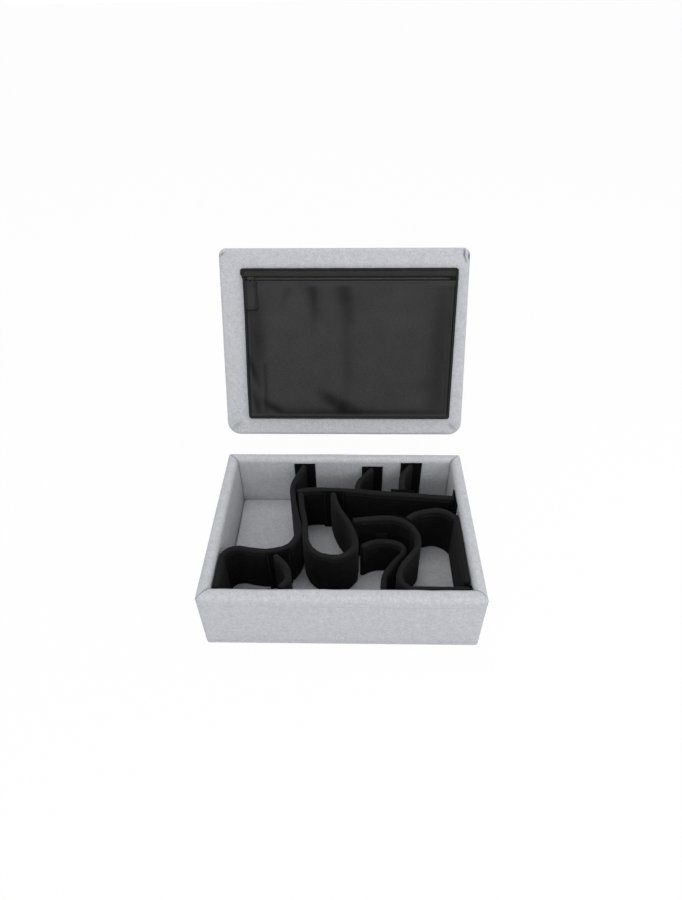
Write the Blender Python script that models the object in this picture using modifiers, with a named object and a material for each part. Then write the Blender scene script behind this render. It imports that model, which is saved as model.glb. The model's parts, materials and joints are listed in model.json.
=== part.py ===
"""Padded divider kit for a hard equipment case, in metres, with +Z up.

The kit is a tray of four padded walls round a floor pad, nine padded dividers
that stand in the tray on hook tabs, and a padded panel for the case's lid with
a zipped pocket. The origin is the centre of the tray's underside. The lid panel
is shown open, hinged where the case's own hinge would be.
"""
import math

import bmesh
import bpy
import numpy as np
from mathutils import Vector

# Clearances and cloth
FIT = 0.0003              # gap between pieces that touch
COVER_CLOTH = 0.0018      # loop cloth over the foam
SHADE_ANGLE = math.radians(40)  # sharper edges than this stay sharp
ROUND_SHARE = 0.5         # Bevel profile of a true round
ROUND_SEGMENTS = 3
FACING_SHARE = 0.9        # a face looks one way if its normal keeps this share

# Tray: outer size, walls and floor pad
TRAY_WIDTH = 0.536
TRAY_DEPTH = 0.402
TRAY_HEIGHT = 0.148
SIDE_WALL = 0.025
BACK_WALL = 0.025
FRONT_WALL = 0.030
WALL_ROLL = 0.011         # radius of the rolled wall tops
ROLL_STEPS = 6
FLOOR_PAD = 0.020
FLOOR_ROLL = 0.005

# Dividers: stock padding, hook tabs and how far they lift
DIVIDER_THICKNESS = 0.012
DIVIDER_HEIGHT = 0.118
TAB_THICKNESS = 0.0022
TAB_WIDTH = 0.048
TAB_HEIGHT_SHARE = 0.985
CORNER_TAB_HEIGHT_SHARE = 1.035  # the front right corner's tab stands higher, and clears the closed lid
SAMPLE_STEP = 0.001       # spacing at which divider routes are measured
ROUTE_SAG = 0.0003        # how far a straight stretch may leave the smooth route
EDGE_STEPS = 2
SPLINE_STEPS = 24

# Lid panel, measured on its own face: right, up and out
LID_WIDTH = 0.536
LID_HEIGHT = 0.408
LID_THICKNESS = 0.026
LID_TOP_CORNER = 0.016
LID_BOTTOM_CORNER = 0.029
CORNER_STEPS = 5
LID_EDGE_ROLL = 0.007
LID_BOARD = 0.0025        # stiffening board behind the foam
LID_OPEN_DEG = 115.5
HINGE_BEHIND_TRAY = 0.0224
HINGE_ABOVE_RIM = 0.0135
LID_CLOSING_GAP = 0.003
HOOK_PATCH_WIDTH = 0.100
HOOK_PATCH_HEIGHT = 0.050
HOOK_PATCH_INSET = 0.040

# Pocket on the lid panel
POCKET_TOP_WIDTH = 0.466
POCKET_BOTTOM_WIDTH = 0.454
POCKET_HEIGHT = 0.328
POCKET_OFFSET = 0.011     # pocket's middle, right of the panel's middle
POCKET_BOTTOM = 0.039     # above the panel's lower edge
POCKET_DEPTH = 0.0068     # face of the pocket, out from the panel
POCKET_CLOTH = 0.0008
BINDING_WIDTH = 0.005
BINDING_STEP = 0.0006     # binding stands this far above the cloth
TOP_BAND = 0.0125
TEETH_SLOT = 0.0085
TAPE_WIDTH = 0.022
TAPE_THICKNESS = 0.0006
FOLD_DEPTH = 0.0008
POCKET_COLUMNS = 22
POCKET_ROWS = 16

# Zipper: teeth of the two rows mesh half a pitch apart
TOOTH_PITCH = 0.0040
TEETH_REACH = 0.0026      # of the meshed teeth, each side of the zipper's line
TOOTH_HEIGHT = 0.0013     # above the tape
TOOTH_DEPTH = 0.0002      # below the tape
TOOTH_OVERLAP = 0.0007    # how far each row reaches past the zipper's line
TOOTH_NECK_SHARE = 0.68   # of a tooth's head
TOOTH_TIP_SHARE = 0.76
CORD_EDGE = 0.0011        # from the zipper's line to the cord that carries the teeth
ZIP_END_MARGIN = 0.010    # cord without teeth at each end
SLIDER_LENGTH = 0.012
SLIDER_WALL = 0.0008
SLIDER_LIP = 0.0010
BAIL_WIDTH = 0.003
BAIL_SPAN = 0.0075
BAIL_TOP_SHARE = 0.6      # of its span
PULL_WIRE = 0.0016        # diameter of the pull's ring
RING_WIDTH = 0.0300
RING_DROP = 0.0090
BEND_STEPS = 3
EYE_WRAP_DEG = 150        # how far the webbing is folded round the ring's bar
EYE_INNER_START_DEG = -60
EYE_STEPS = 10
FOLD_RAMP_SHARE = 1.2     # of the eye's radius
PULL_TAB_WIDTH = 0.0255
PULL_TAB_LENGTH = 0.056
PULL_TAB_THICKNESS = 0.0016
SLIDER_START = 0.022      # middle of the slider, from the pocket's left edge

# Places that follow from the sizes above
INNER_WIDTH = TRAY_WIDTH - 2 * SIDE_WALL
INNER_DEPTH = TRAY_DEPTH - BACK_WALL - FRONT_WALL
INNER_LEFT = -INNER_WIDTH / 2
INNER_RIGHT = INNER_WIDTH / 2
INNER_FRONT = -TRAY_DEPTH / 2 + FRONT_WALL
INNER_BACK = TRAY_DEPTH / 2 - BACK_WALL
DIVIDER_BASE = FLOOR_PAD + FIT
HALF_PAD = DIVIDER_THICKNESS / 2
TAB_OFFSET = HALF_PAD + FIT + TAB_THICKNESS / 2
END_CLEARANCE = FIT + TAB_THICKNESS + FIT
ZIP_LINE = POCKET_BOTTOM + POCKET_HEIGHT - BINDING_WIDTH - TOP_BAND - TEETH_SLOT / 2
TEETH_BASE = POCKET_DEPTH - POCKET_CLOTH - FIT
POCKET_LEFT = POCKET_OFFSET - POCKET_TOP_WIDTH / 2
POCKET_RIGHT = POCKET_OFFSET + POCKET_TOP_WIDTH / 2

# Colours, roughness and metallic value
FINISHES = {
    "grey_loop_cloth": ((0.45, 0.47, 0.51, 1.0), 0.95, 0.0),
    "black_loop_cloth": ((0.012, 0.012, 0.013, 1.0), 0.95, 0.0),
    "hook_tape": ((0.015, 0.015, 0.017, 1.0), 0.8, 0.0),
    "foam": ((0.09, 0.09, 0.10, 1.0), 0.95, 0.0),
    "board": ((0.10, 0.10, 0.10, 1.0), 0.7, 0.0),
    "pocket_nylon": ((0.035, 0.035, 0.036, 1.0), 0.55, 0.0),
    "binding_tape": ((0.012, 0.012, 0.013, 1.0), 0.7, 0.0),
    "zip_tape": ((0.02, 0.02, 0.021, 1.0), 0.75, 0.0),
    "zip_teeth": ((0.03, 0.03, 0.032, 1.0), 0.4, 0.0),
    "black_metal": ((0.05, 0.05, 0.052, 1.0), 0.35, 1.0),
}

# Divider routes in plan, as shares of the tray's inside width and depth from
# its front left corner. A tab at "back", "right" or "front" is sewn across the
# end that meets that wall.
LEFT_S_SHARES = [
    (0.32, 1.0), (0.29, 0.895), (0.27, 0.795), (0.28, 0.665), (0.30, 0.535),
    (0.315, 0.435), (0.30, 0.35), (0.265, 0.295), (0.20, 0.27), (0.14, 0.275),
    (0.075, 0.29), (0.035, 0.275), (0.015, 0.235), (0.01, 0.175), (0.01, 0.015),
]
CROSS_SHARES = [
    (0.26, 0.735), (0.305, 0.75), (0.36, 0.765), (0.44, 0.765), (0.565, 0.755),
    (0.64, 0.74), (0.81, 0.72), (1.0, 0.695),
]
U_SHARES = [
    (0.305, 0.765), (0.32, 0.62), (0.335, 0.52), (0.34, 0.42), (0.36, 0.32),
    (0.40, 0.255), (0.46, 0.23), (0.505, 0.24), (0.54, 0.28), (0.555, 0.325),
    (0.545, 0.41), (0.52, 0.50), (0.485, 0.59), (0.465, 0.665), (0.445, 0.785),
]
LENS_LEFT_SHARES = [
    (0.645, 1.0), (0.61, 0.935), (0.58, 0.88), (0.565, 0.825), (0.565, 0.74),
]
LENS_RIGHT_SHARES = [
    (0.83, 1.0), (0.795, 0.94), (0.77, 0.875), (0.765, 0.795), (0.775, 0.71),
]
LONG_S_SHARES = [
    (0.51, 0.505), (0.545, 0.505), (0.595, 0.515), (0.66, 0.525), (0.71, 0.525),
    (0.755, 0.505), (0.79, 0.46), (0.81, 0.405), (0.815, 0.36), (0.81, 0.31),
    (0.79, 0.265), (0.765, 0.22), (0.745, 0.18), (0.73, 0.135), (0.728, 0.085),
    (0.745, 0.04), (0.785, 0.012), (0.85, 0.01), (1.0, 0.01),
]
ARCH_SHARES = [
    (0.755, 0.48), (0.775, 0.52), (0.80, 0.55), (0.83, 0.57), (0.86, 0.58),
    (0.905, 0.59), (0.945, 0.575), (0.975, 0.54), (0.99, 0.485), (0.99, 0.40),
    (0.99, 0.235), (0.99, 0.06),
]
CURL_SHARES = [
    (0.54, 0.32), (0.595, 0.365), (0.625, 0.385), (0.66, 0.395), (0.705, 0.39),
    (0.745, 0.365), (0.755, 0.315), (0.72, 0.25), (0.69, 0.19), (0.67, 0.135),
    (0.665, 0.06), (0.665, 0.0),
]
CORNER_SHARES = [
    (0.21, 0.26), (0.245, 0.215), (0.275, 0.165), (0.29, 0.11), (0.285, 0.06),
    (0.265, 0.025), (0.25, 0.0),
]
# Stock heights, as shares of the usual divider
FULL_HEIGHT_SHARE = 1.0
LENS_LEFT_HEIGHT_SHARE = 0.93
LENS_RIGHT_HEIGHT_SHARE = 1.03
CURL_HEIGHT_SHARE = 0.83
TONGUE_HEIGHT_SHARE = 1.12
TONGUE_PLACE_SHARE = 0.22  # middle of the tongue along the small divider
TONGUE_WIDTH_SHARE = 0.5   # of a hook tab
CORNER_TAB_SHARE = 1.5     # tab in the front right corner, of the divider's thickness
CURL_TAB_SHARE = 0.84      # the small divider's front tab, of a hook tab

# Soft folds in the pocket's face: place, half widths and slant, as shares
POCKET_FOLD_SHARES = [
    (0.33, 0.93, 0.018, 0.09, 0.10), (0.48, 0.92, 0.020, 0.10, 0.12),
    (0.42, 0.10, 0.022, 0.08, -0.25), (0.15, 0.08, 0.040, 0.05, -0.9),
    (0.085, 0.18, 0.012, 0.20, 0.02),
]
FOLD_FADE_SHARE = 0.05     # the folds fade out this near the zipper


def start_clean():
    """Remove what the scene holds and make the two collections."""
    for thing in list(bpy.data.objects):
        bpy.data.objects.remove(thing)
    collections = []
    for name in ("case_divider_kit", "cutters"):
        collection = bpy.data.collections.new(name)
        bpy.context.scene.collection.children.link(collection)
        collections.append(collection)
    return collections


KIT, CUTTERS = start_clean()


def material(finish):
    """The named finish as a Principled material, made once."""
    made = bpy.data.materials.get(finish)
    if made:
        return made
    colour, roughness, metallic = FINISHES[finish]
    made = bpy.data.materials.new(finish)
    made.use_nodes = True
    made.diffuse_color = colour
    shader = made.node_tree.nodes["Principled BSDF"]
    shader.inputs["Base Color"].default_value = colour
    shader.inputs["Roughness"].default_value = roughness
    shader.inputs["Metallic"].default_value = metallic
    return made


def add_object(name, data, finish, parent=None, collection=None):
    """Link data as a named object under its parent, with its own finish."""
    made = bpy.data.objects.new(name, data)
    (collection or KIT).objects.link(made)
    own = material(finish).copy()
    own.name = name
    data.materials.append(own)
    made.parent = parent
    return made


def add_empty(name, place, parent=None):
    """An empty that carries a moving body on its joint's axis."""
    made = bpy.data.objects.new(name, None)
    KIT.objects.link(made)
    made.location = place
    made.parent = parent
    return made


def mesh_from(bm, name):
    """Turn a bmesh into a mesh with outward faces, smooth on its rounds."""
    bmesh.ops.recalc_face_normals(bm, faces=bm.faces)
    data = bpy.data.meshes.new(name)
    bm.to_mesh(data)
    bm.free()
    data.shade_smooth()
    data.set_sharp_from_angle(angle=SHADE_ANGLE)
    return data


def arc(centre, radius, start, end, steps):
    """Points on an arc in a plane, angles in degrees."""
    turns = np.radians(np.linspace(start, end, steps + 1))
    return [(centre[0] + radius * math.cos(turn), centre[1] + radius * math.sin(turn))
            for turn in turns]


def extruded(outline, depth, along=Vector((1, 0, 0))):
    """A bmesh prism: the outline (3D points) swept by depth along a direction."""
    bm = bmesh.new()
    face = bm.faces.new([bm.verts.new(point) for point in outline])
    swept = bmesh.ops.extrude_face_region(bm, geom=[face])
    moved = [item for item in swept["geom"] if isinstance(item, bmesh.types.BMVert)]
    bmesh.ops.translate(bm, verts=moved, vec=along * depth)
    return bm


# Tray walls and floor

def wall_section(thickness, height, roll, inset):
    """Arch of a wall pad: its outer face at zero, its inner face at -thickness."""
    low, high = -thickness + inset, -inset
    top = height - inset
    round_radius = roll - inset
    points = [(high, 0.0)]
    points += arc((high - round_radius, top - round_radius), round_radius, 0, 90, ROLL_STEPS)
    points += arc((low + round_radius, top - round_radius), round_radius, 90, 180, ROLL_STEPS)
    points += [(low, 0.0)]
    return points


def mitred_wall(name, finish, section, length, left_slope, right_slope, turn, place):
    """A wall piece swept along its length, its ends slid back along the mitres."""
    outline = [(-length / 2 + FIT, across, up) for across, up in section]
    bm = extruded(outline, length - 2 * FIT)
    for vert in bm.verts:
        slope = left_slope if vert.co.x < 0 else -right_slope
        vert.co.x += -vert.co.y * slope
    made = add_object(name, mesh_from(bm, name), finish)
    made.rotation_euler.z = turn
    made.location = place
    return made


def wall_pad(side, length, thickness, left_slope, right_slope, turn, place):
    """Cloth sleeve of one wall and the foam board inside it."""
    outer = wall_section(thickness, TRAY_HEIGHT, WALL_ROLL, 0.0)
    inner = wall_section(thickness, TRAY_HEIGHT, WALL_ROLL, COVER_CLOTH)
    core = wall_section(thickness, TRAY_HEIGHT, WALL_ROLL, COVER_CLOTH + FIT)
    sleeve = outer + inner[::-1]
    mitres = (left_slope, right_slope, turn, place)
    mitred_wall(side + "_wall_cover", "grey_loop_cloth", sleeve, length, *mitres)
    mitred_wall(side + "_wall_foam", "foam", core, length, *mitres)


def build_walls():
    """Four wall pads, mitred together at the tray's corners."""
    side_to_back = SIDE_WALL / BACK_WALL
    side_to_front = SIDE_WALL / FRONT_WALL
    half_width, half_depth = TRAY_WIDTH / 2, TRAY_DEPTH / 2
    wall_pad("back", TRAY_WIDTH, BACK_WALL, side_to_back, side_to_back,
             0.0, (0, half_depth, 0))
    wall_pad("front", TRAY_WIDTH, FRONT_WALL, side_to_front, side_to_front,
             math.pi, (0, -half_depth, 0))
    wall_pad("left", TRAY_DEPTH, SIDE_WALL, 1 / side_to_front, 1 / side_to_back,
             math.pi / 2, (-half_width, 0, 0))
    wall_pad("right", TRAY_DEPTH, SIDE_WALL, 1 / side_to_back, 1 / side_to_front,
             -math.pi / 2, (half_width, 0, 0))


def floor_block(inset, top_inset, roll):
    """The floor pad's outline as a bmesh block, rolled along its upper edges."""
    width = INNER_WIDTH - 2 * (FIT + inset)
    depth = INNER_DEPTH - 2 * (FIT + inset)
    height = FLOOR_PAD - top_inset
    bm = bmesh.new()
    bmesh.ops.create_cube(bm, size=1.0)
    bmesh.ops.scale(bm, vec=(width, depth, height), verts=bm.verts)
    middle = (INNER_FRONT + INNER_BACK) / 2
    bmesh.ops.translate(bm, vec=(0, middle, height / 2), verts=bm.verts)
    rolled = [edge for edge in bm.edges if max(vert.co.z for vert in edge.verts) > height / 2]
    bmesh.ops.bevel(bm, geom=rolled, offset=roll, segments=ROUND_SEGMENTS, profile=ROUND_SHARE,
                    affect="EDGES")
    return bm


def build_floor():
    """Floor pad: a cloth cover, open underneath, over its foam board."""
    bm = floor_block(0.0, 0.0, FLOOR_ROLL)
    underside = [face for face in bm.faces if face.normal.z < -FACING_SHARE]
    bmesh.ops.delete(bm, geom=underside, context="FACES")
    cover = add_object("floor_cover", mesh_from(bm, "floor_cover"), "grey_loop_cloth")
    shell = cover.modifiers.new("cloth", "SOLIDIFY")
    shell.thickness = COVER_CLOTH
    shell.offset = -1.0
    shell.use_even_offset = True
    inset = COVER_CLOTH + FIT
    bm = floor_block(inset, inset, FLOOR_ROLL - COVER_CLOTH)
    add_object("floor_foam", mesh_from(bm, "floor_foam"), "foam")


# Divider routes

def in_tray(shares):
    """Plan points in metres from shares of the tray's inside."""
    return np.array([(INNER_LEFT + across * INNER_WIDTH, INNER_FRONT + deep * INNER_DEPTH)
                     for across, deep in shares])


def smooth_route(points):
    """A Catmull-Rom curve through the points."""
    first, last = 2 * points[0] - points[1], 2 * points[-1] - points[-2]
    rail = np.vstack([first, points, last])
    route = []
    for index in range(1, len(rail) - 2):
        before, start, end, after = rail[index - 1:index + 3]
        for share in np.linspace(0, 1, SPLINE_STEPS, endpoint=False):
            square, cube = share ** 2, share ** 3
            route.append(0.5 * (2 * start + (end - before) * share
                                + (2 * before - 5 * start + 4 * end - after) * square
                                + (3 * start - before - 3 * end + after) * cube))
    return np.array(route + [points[-1]])


def lengths_along(route):
    """Distance of each route point from the start, measured along the route."""
    steps = np.linalg.norm(np.diff(route, axis=0), axis=1)
    return np.concatenate([[0.0], np.cumsum(steps)])


def evenly_spaced(route, step=SAMPLE_STEP):
    """The same route with points at an even spacing."""
    along = lengths_along(route)
    count = max(2, int(round(along[-1] / step)) + 1)
    places = np.linspace(0, along[-1], count)
    return np.column_stack([np.interp(places, along, route[:, axis]) for axis in (0, 1)])


def simplified(route, sag=ROUTE_SAG):
    """Fewer points: each chord stays within sag of the smooth route."""
    if len(route) < 3:
        return route
    start, end = route[0], route[-1]
    chord = (end - start) / np.linalg.norm(end - start)
    offsets = route - start
    distance = np.abs(offsets[:, 0] * chord[1] - offsets[:, 1] * chord[0])
    worst = int(distance.argmax())
    if distance[worst] <= sag:
        return np.array([start, end])
    return np.vstack([simplified(route[:worst + 1], sag)[:-1], simplified(route[worst:], sag)])


def normals_of(route):
    """Left-hand unit normals at each point of the route."""
    heading = np.gradient(route, axis=0)
    heading /= np.linalg.norm(heading, axis=1)[:, None]
    return np.column_stack([-heading[:, 1], heading[:, 0]])


def offset_route(route, distance):
    """The route moved sideways, mitred at its bends."""
    steps = np.diff(route, axis=0)
    steps /= np.linalg.norm(steps, axis=1)[:, None]
    sides = np.column_stack([-steps[:, 1], steps[:, 0]])
    first = np.vstack([sides[:1], sides])
    second = np.vstack([sides, sides[-1:]])
    mitre = first + second
    mitre /= (1 + np.sum(first * second, axis=1))[:, None]
    return route + mitre * distance


def stretch_of(route, start, end):
    """The part of the route between two distances along it."""
    along = lengths_along(route)
    start, end = max(start, 0.0), min(end, along[-1])
    inside = route[(along > start) & (along < end)]
    ends = [[np.interp(place, along, route[:, axis]) for axis in (0, 1)] for place in (start, end)]
    return np.vstack([ends[0], inside, ends[1]])


def nearest(points, other):
    """Distance from each point to a route, and the index of its nearest sample."""
    apart = np.linalg.norm(points[:, None, :] - other[None, :, :], axis=2)
    return apart.min(axis=1), apart.argmin(axis=1)


def clear_of_route(other, distance):
    """A test: do all these points keep the distance from a finished route?"""
    samples = evenly_spaced(other)
    return lambda points: nearest(points, samples)[0].min() >= distance


def clear_of_wall(wall, distance):
    """A test: do all these points keep the distance from a tray wall?"""
    tests = {
        "back": lambda points: points[:, 1].max() <= INNER_BACK - distance,
        "front": lambda points: points[:, 1].min() >= INNER_FRONT + distance,
        "left": lambda points: points[:, 0].min() >= INNER_LEFT + distance,
        "right": lambda points: points[:, 0].max() <= INNER_RIGHT - distance,
    }
    return tests[wall]


def trimmed_start(route, is_clear):
    """Cut the route's start back until the square end of the pad is clear."""
    sides = normals_of(route) * HALF_PAD
    for index in range(len(route)):
        corners = np.array([route[index], route[index] + sides[index], route[index] - sides[index]])
        if is_clear(corners):
            return route[index:]
    return route


def trimmed_end(route, is_clear):
    """Cut the route's end back until the square end of the pad is clear."""
    return trimmed_start(route[::-1], is_clear)[::-1]


def kept_beside(route, other, distance):
    """Move the points that come too near a finished route out to the distance."""
    samples = evenly_spaced(other)
    apart, where = nearest(route, samples)
    away = (route - samples[where]) / np.maximum(apart, SAMPLE_STEP)[:, None]
    moved = samples[where] + away * distance
    return np.where((apart < distance)[:, None], moved, route)


def lined(route, wall):
    """Hold the route off a wall that its pad lies along."""
    inset = HALF_PAD + FIT
    held = route.copy()
    if wall == "left":
        held[:, 0] = np.maximum(held[:, 0], INNER_LEFT + inset)
    if wall == "right":
        held[:, 0] = np.minimum(held[:, 0], INNER_RIGHT - inset)
    if wall == "front":
        held[:, 1] = np.maximum(held[:, 1], INNER_FRONT + inset)
    return held


# Divider pieces

def standing_strip(name, finish, route, height, thickness, carrier):
    """A strip that stands on the floor pad along its route."""
    curve = bpy.data.curves.new(name, "CURVE")
    curve.dimensions = "3D"
    curve.twist_mode = "Z_UP"
    curve.fill_mode = "FULL"
    curve.bevel_depth = thickness / 2
    curve.extrude = (height - thickness) / 2
    curve.bevel_resolution = EDGE_STEPS
    curve.use_fill_caps = True
    spline = curve.splines.new("POLY")
    spline.points.add(len(route) - 1)
    for point, (across, deep) in zip(spline.points, route):
        point.co = (across, deep, 0.0, 1.0)
    spline.use_smooth = True
    made = add_object(name, curve, finish, carrier)
    made.location = Vector((0, 0, DIVIDER_BASE + height / 2)) - carrier.location
    return made


def wall_tab(wall, middle, half=TAB_WIDTH / 2):
    """Plan of a flat hook tab on a tray wall, its middle at a place along it."""
    inset = FIT + TAB_THICKNESS / 2
    if wall in ("back", "front"):
        deep = INNER_BACK - inset if wall == "back" else INNER_FRONT + inset
        return np.array([(middle - half, deep), (middle + half, deep)])
    across = INNER_RIGHT - inset if wall == "right" else INNER_LEFT + inset
    return np.array([(across, middle - half), (across, middle + half)])


def route_tab(other, end_point, before=TAB_WIDTH / 2, after=TAB_WIDTH / 2):
    """Plan of a hook tab along another divider's face, by the end that it holds."""
    samples = evenly_spaced(other)
    index = int(nearest(end_point[None, :], samples)[1][0])
    place = lengths_along(samples)[index]
    side = np.sign(np.dot(normals_of(samples)[index], end_point - samples[index]))
    return stretch_of(offset_route(other, side * TAB_OFFSET), place - before, place + after)


class Divider:
    """One padded divider with its hook tabs, on an empty that lifts it out."""

    def __init__(self, name, route, height_share, tabs):
        self.name = name
        self.route = simplified(route)
        self.height = DIVIDER_HEIGHT * height_share
        self.tabs = tabs(self.route)
        self.tab_shares = dict.fromkeys(self.tabs, TAB_HEIGHT_SHARE)
        middle = self.route.mean(axis=0)
        self.carrier = add_empty(name + "_lift", (middle[0], middle[1], DIVIDER_BASE))

    def build(self):
        """Make the padded strip and its tabs."""
        standing_strip(self.name + "_pad", "black_loop_cloth", self.route,
                       self.height, DIVIDER_THICKNESS, self.carrier)
        for place, tab in self.tabs.items():
            standing_strip(f"{self.name}_{place}_tab", "hook_tape", tab,
                           self.height * self.tab_shares[place], TAB_THICKNESS, self.carrier)


def raw_route(shares):
    """The smooth route through a divider's plan points, evenly spaced."""
    return evenly_spaced(smooth_route(in_tray(shares)))


def build_dividers():
    """Lay out the nine dividers in the order in which each leans on the last."""
    end_gap = HALF_PAD + END_CLEARANCE
    beside = DIVIDER_THICKNESS + FIT

    route = trimmed_start(raw_route(LEFT_S_SHARES), clear_of_wall("back", END_CLEARANCE))
    left_s = Divider("left_s_divider", lined(route, "left"), FULL_HEIGHT_SHARE,
                     lambda path: {"back": wall_tab("back", path[0][0])})

    route = trimmed_end(raw_route(CROSS_SHARES), clear_of_wall("right", END_CLEARANCE))
    route = trimmed_start(route, clear_of_route(left_s.route, end_gap))
    cross = Divider("cross_divider", route, FULL_HEIGHT_SHARE,
                    lambda path: {"right": wall_tab("right", path[-1][1]),
                                  "left": route_tab(left_s.route, path[0], after=0.0)})

    route = kept_beside(raw_route(U_SHARES), left_s.route, beside)
    route = trimmed_start(route, clear_of_route(cross.route, HALF_PAD + FIT))
    route = trimmed_end(route, clear_of_route(cross.route, end_gap))
    around = Divider("u_divider", route, FULL_HEIGHT_SHARE,
                     lambda path: {"back": route_tab(cross.route, path[-1])})

    lens_dividers = []
    for name, shares, height_share in (
            ("lens_divider_left", LENS_LEFT_SHARES, LENS_LEFT_HEIGHT_SHARE),
            ("lens_divider_right", LENS_RIGHT_SHARES, LENS_RIGHT_HEIGHT_SHARE)):
        route = trimmed_start(raw_route(shares), clear_of_wall("back", END_CLEARANCE))
        route = trimmed_end(route, clear_of_route(cross.route, end_gap))
        lens_dividers.append(Divider(
            name, route, height_share,
            lambda path: {"back": wall_tab("back", path[0][0]),
                          "front": route_tab(cross.route, path[-1])}))

    route = trimmed_start(raw_route(LONG_S_SHARES), clear_of_route(around.route, end_gap))
    route = trimmed_end(lined(route, "front"), clear_of_wall("right", END_CLEARANCE))
    corner_half = DIVIDER_THICKNESS * CORNER_TAB_SHARE / 2
    corner_middle = INNER_FRONT + FIT + corner_half
    long_s = Divider("long_s_divider", route, FULL_HEIGHT_SHARE,
                     lambda path: {"left": route_tab(around.route, path[0]),
                                   "corner": wall_tab("right", corner_middle, corner_half)})
    long_s.tab_shares["corner"] = CORNER_TAB_HEIGHT_SHARE

    route = trimmed_start(raw_route(ARCH_SHARES), clear_of_route(long_s.route, end_gap))
    route = trimmed_end(lined(route, "right"), clear_of_route(long_s.route, beside))
    arch = Divider("arch_divider", route, FULL_HEIGHT_SHARE,
                   lambda path: {"left": route_tab(long_s.route, path[0])})

    route = trimmed_start(raw_route(CURL_SHARES), clear_of_route(around.route, end_gap))
    route = trimmed_end(route, clear_of_wall("front", END_CLEARANCE))
    curl_half = TAB_WIDTH * CURL_TAB_SHARE / 2
    curl = Divider("curl_divider", route, CURL_HEIGHT_SHARE,
                   lambda path: {"front": wall_tab("front", path[-1][0], curl_half)})

    route = trimmed_start(raw_route(CORNER_SHARES), clear_of_route(left_s.route, end_gap))
    route = trimmed_end(route, clear_of_wall("front", END_CLEARANCE))
    corner = Divider("corner_divider", route, FULL_HEIGHT_SHARE,
                     lambda path: {"back": route_tab(left_s.route, path[0]),
                                   "front": wall_tab("front", path[-1][0])})

    for divider in [left_s, cross, around, *lens_dividers, long_s, arch, curl, corner]:
        divider.build()

    tongue_middle = lengths_along(curl.route)[-1] * TONGUE_PLACE_SHARE
    half = TAB_WIDTH * TONGUE_WIDTH_SHARE / 2
    tongue = stretch_of(offset_route(curl.route, TAB_OFFSET), tongue_middle - half,
                        tongue_middle + half)
    standing_strip("curl_divider_tongue", "hook_tape", tongue,
                   curl.height * TONGUE_HEIGHT_SHARE, TAB_THICKNESS, curl.carrier)


# Lid panel

def rounded_panel(width, height, top_radius, bottom_radius, level):
    """Outline of the lid panel, its lower edge at zero, at a level out of its face."""
    side = width / 2
    corners = [
        ((side - bottom_radius, bottom_radius), bottom_radius, -90),
        ((side - top_radius, height - top_radius), top_radius, 0),
        ((-side + top_radius, height - top_radius), top_radius, 90),
        ((-side + bottom_radius, bottom_radius), bottom_radius, 180),
    ]
    points = []
    for centre, radius, start in corners:
        points += arc(centre, radius, start, start + 90, CORNER_STEPS)
    return [(across, up, level) for across, up in points]


def panel_block(inset, back, face, roll):
    """A rounded block of the lid panel between two levels, rolled at its face."""
    outline = rounded_panel(LID_WIDTH - 2 * inset, LID_HEIGHT - 2 * inset,
                            LID_TOP_CORNER - inset, LID_BOTTOM_CORNER - inset, back)
    outline = [(across, up + inset, out) for across, up, out in outline]
    bm = extruded(outline, face - back, Vector((0, 0, 1)))
    if roll:
        rim = [edge for edge in bm.edges if all(vert.co.z > face - FIT for vert in edge.verts)]
        bmesh.ops.bevel(bm, geom=rim, offset=roll, segments=ROUND_SEGMENTS,
                        profile=ROUND_SHARE, affect="EDGES")
    return bm


def build_lid_panel(lid):
    """Cloth cover, foam, stiffening board and hook patches of the lid panel."""
    back = -LID_THICKNESS
    bm = panel_block(0.0, back, 0.0, LID_EDGE_ROLL)
    bmesh.ops.recalc_face_normals(bm, faces=bm.faces)
    rear = [face for face in bm.faces if face.normal.z < -FACING_SHARE]
    bmesh.ops.delete(bm, geom=rear, context="FACES")
    cover = add_object("lid_cover", mesh_from(bm, "lid_cover"), "grey_loop_cloth", lid)
    shell = cover.modifiers.new("cloth", "SOLIDIFY")
    shell.thickness = COVER_CLOTH
    shell.offset = -1.0
    shell.use_even_offset = True

    inset = COVER_CLOTH + FIT
    foam_back = back + LID_BOARD + FIT
    bm = panel_block(inset, foam_back, -inset, LID_EDGE_ROLL - COVER_CLOTH)
    add_object("lid_foam", mesh_from(bm, "lid_foam"), "foam", lid)
    bm = panel_block(inset, back, back + LID_BOARD, 0.0)
    add_object("lid_board", mesh_from(bm, "lid_board"), "board", lid)

    across = LID_WIDTH / 2 - HOOK_PATCH_INSET - HOOK_PATCH_WIDTH / 2
    up_low = HOOK_PATCH_INSET + HOOK_PATCH_HEIGHT / 2
    for row, up in (("lower", up_low), ("upper", LID_HEIGHT - up_low)):
        for column, side in (("left", -1), ("right", 1)):
            bm = bmesh.new()
            bmesh.ops.create_cube(bm, size=1.0)
            bmesh.ops.scale(bm, vec=(HOOK_PATCH_WIDTH, HOOK_PATCH_HEIGHT, TAB_THICKNESS),
                            verts=bm.verts)
            name = f"lid_hook_patch_{row}_{column}"
            patch = add_object(name, mesh_from(bm, name), "hook_tape", lid)
            patch.location = (side * across, up, back - FIT - TAB_THICKNESS / 2)


# Pocket and zipper

def pocket_half_width(up):
    """Half the pocket's width at a height above its lower edge."""
    share = up / POCKET_HEIGHT
    return (POCKET_BOTTOM_WIDTH + (POCKET_TOP_WIDTH - POCKET_BOTTOM_WIDTH) * share) / 2


def pocket_outline(low, high, inset, level):
    """Corners of a slice of the pocket between two heights above its lower edge."""
    corners = [(-1, low), (1, low), (1, high), (-1, high)]
    return [(POCKET_OFFSET + side * (pocket_half_width(up) - inset), POCKET_BOTTOM + up, level)
            for side, up in corners]


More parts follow.
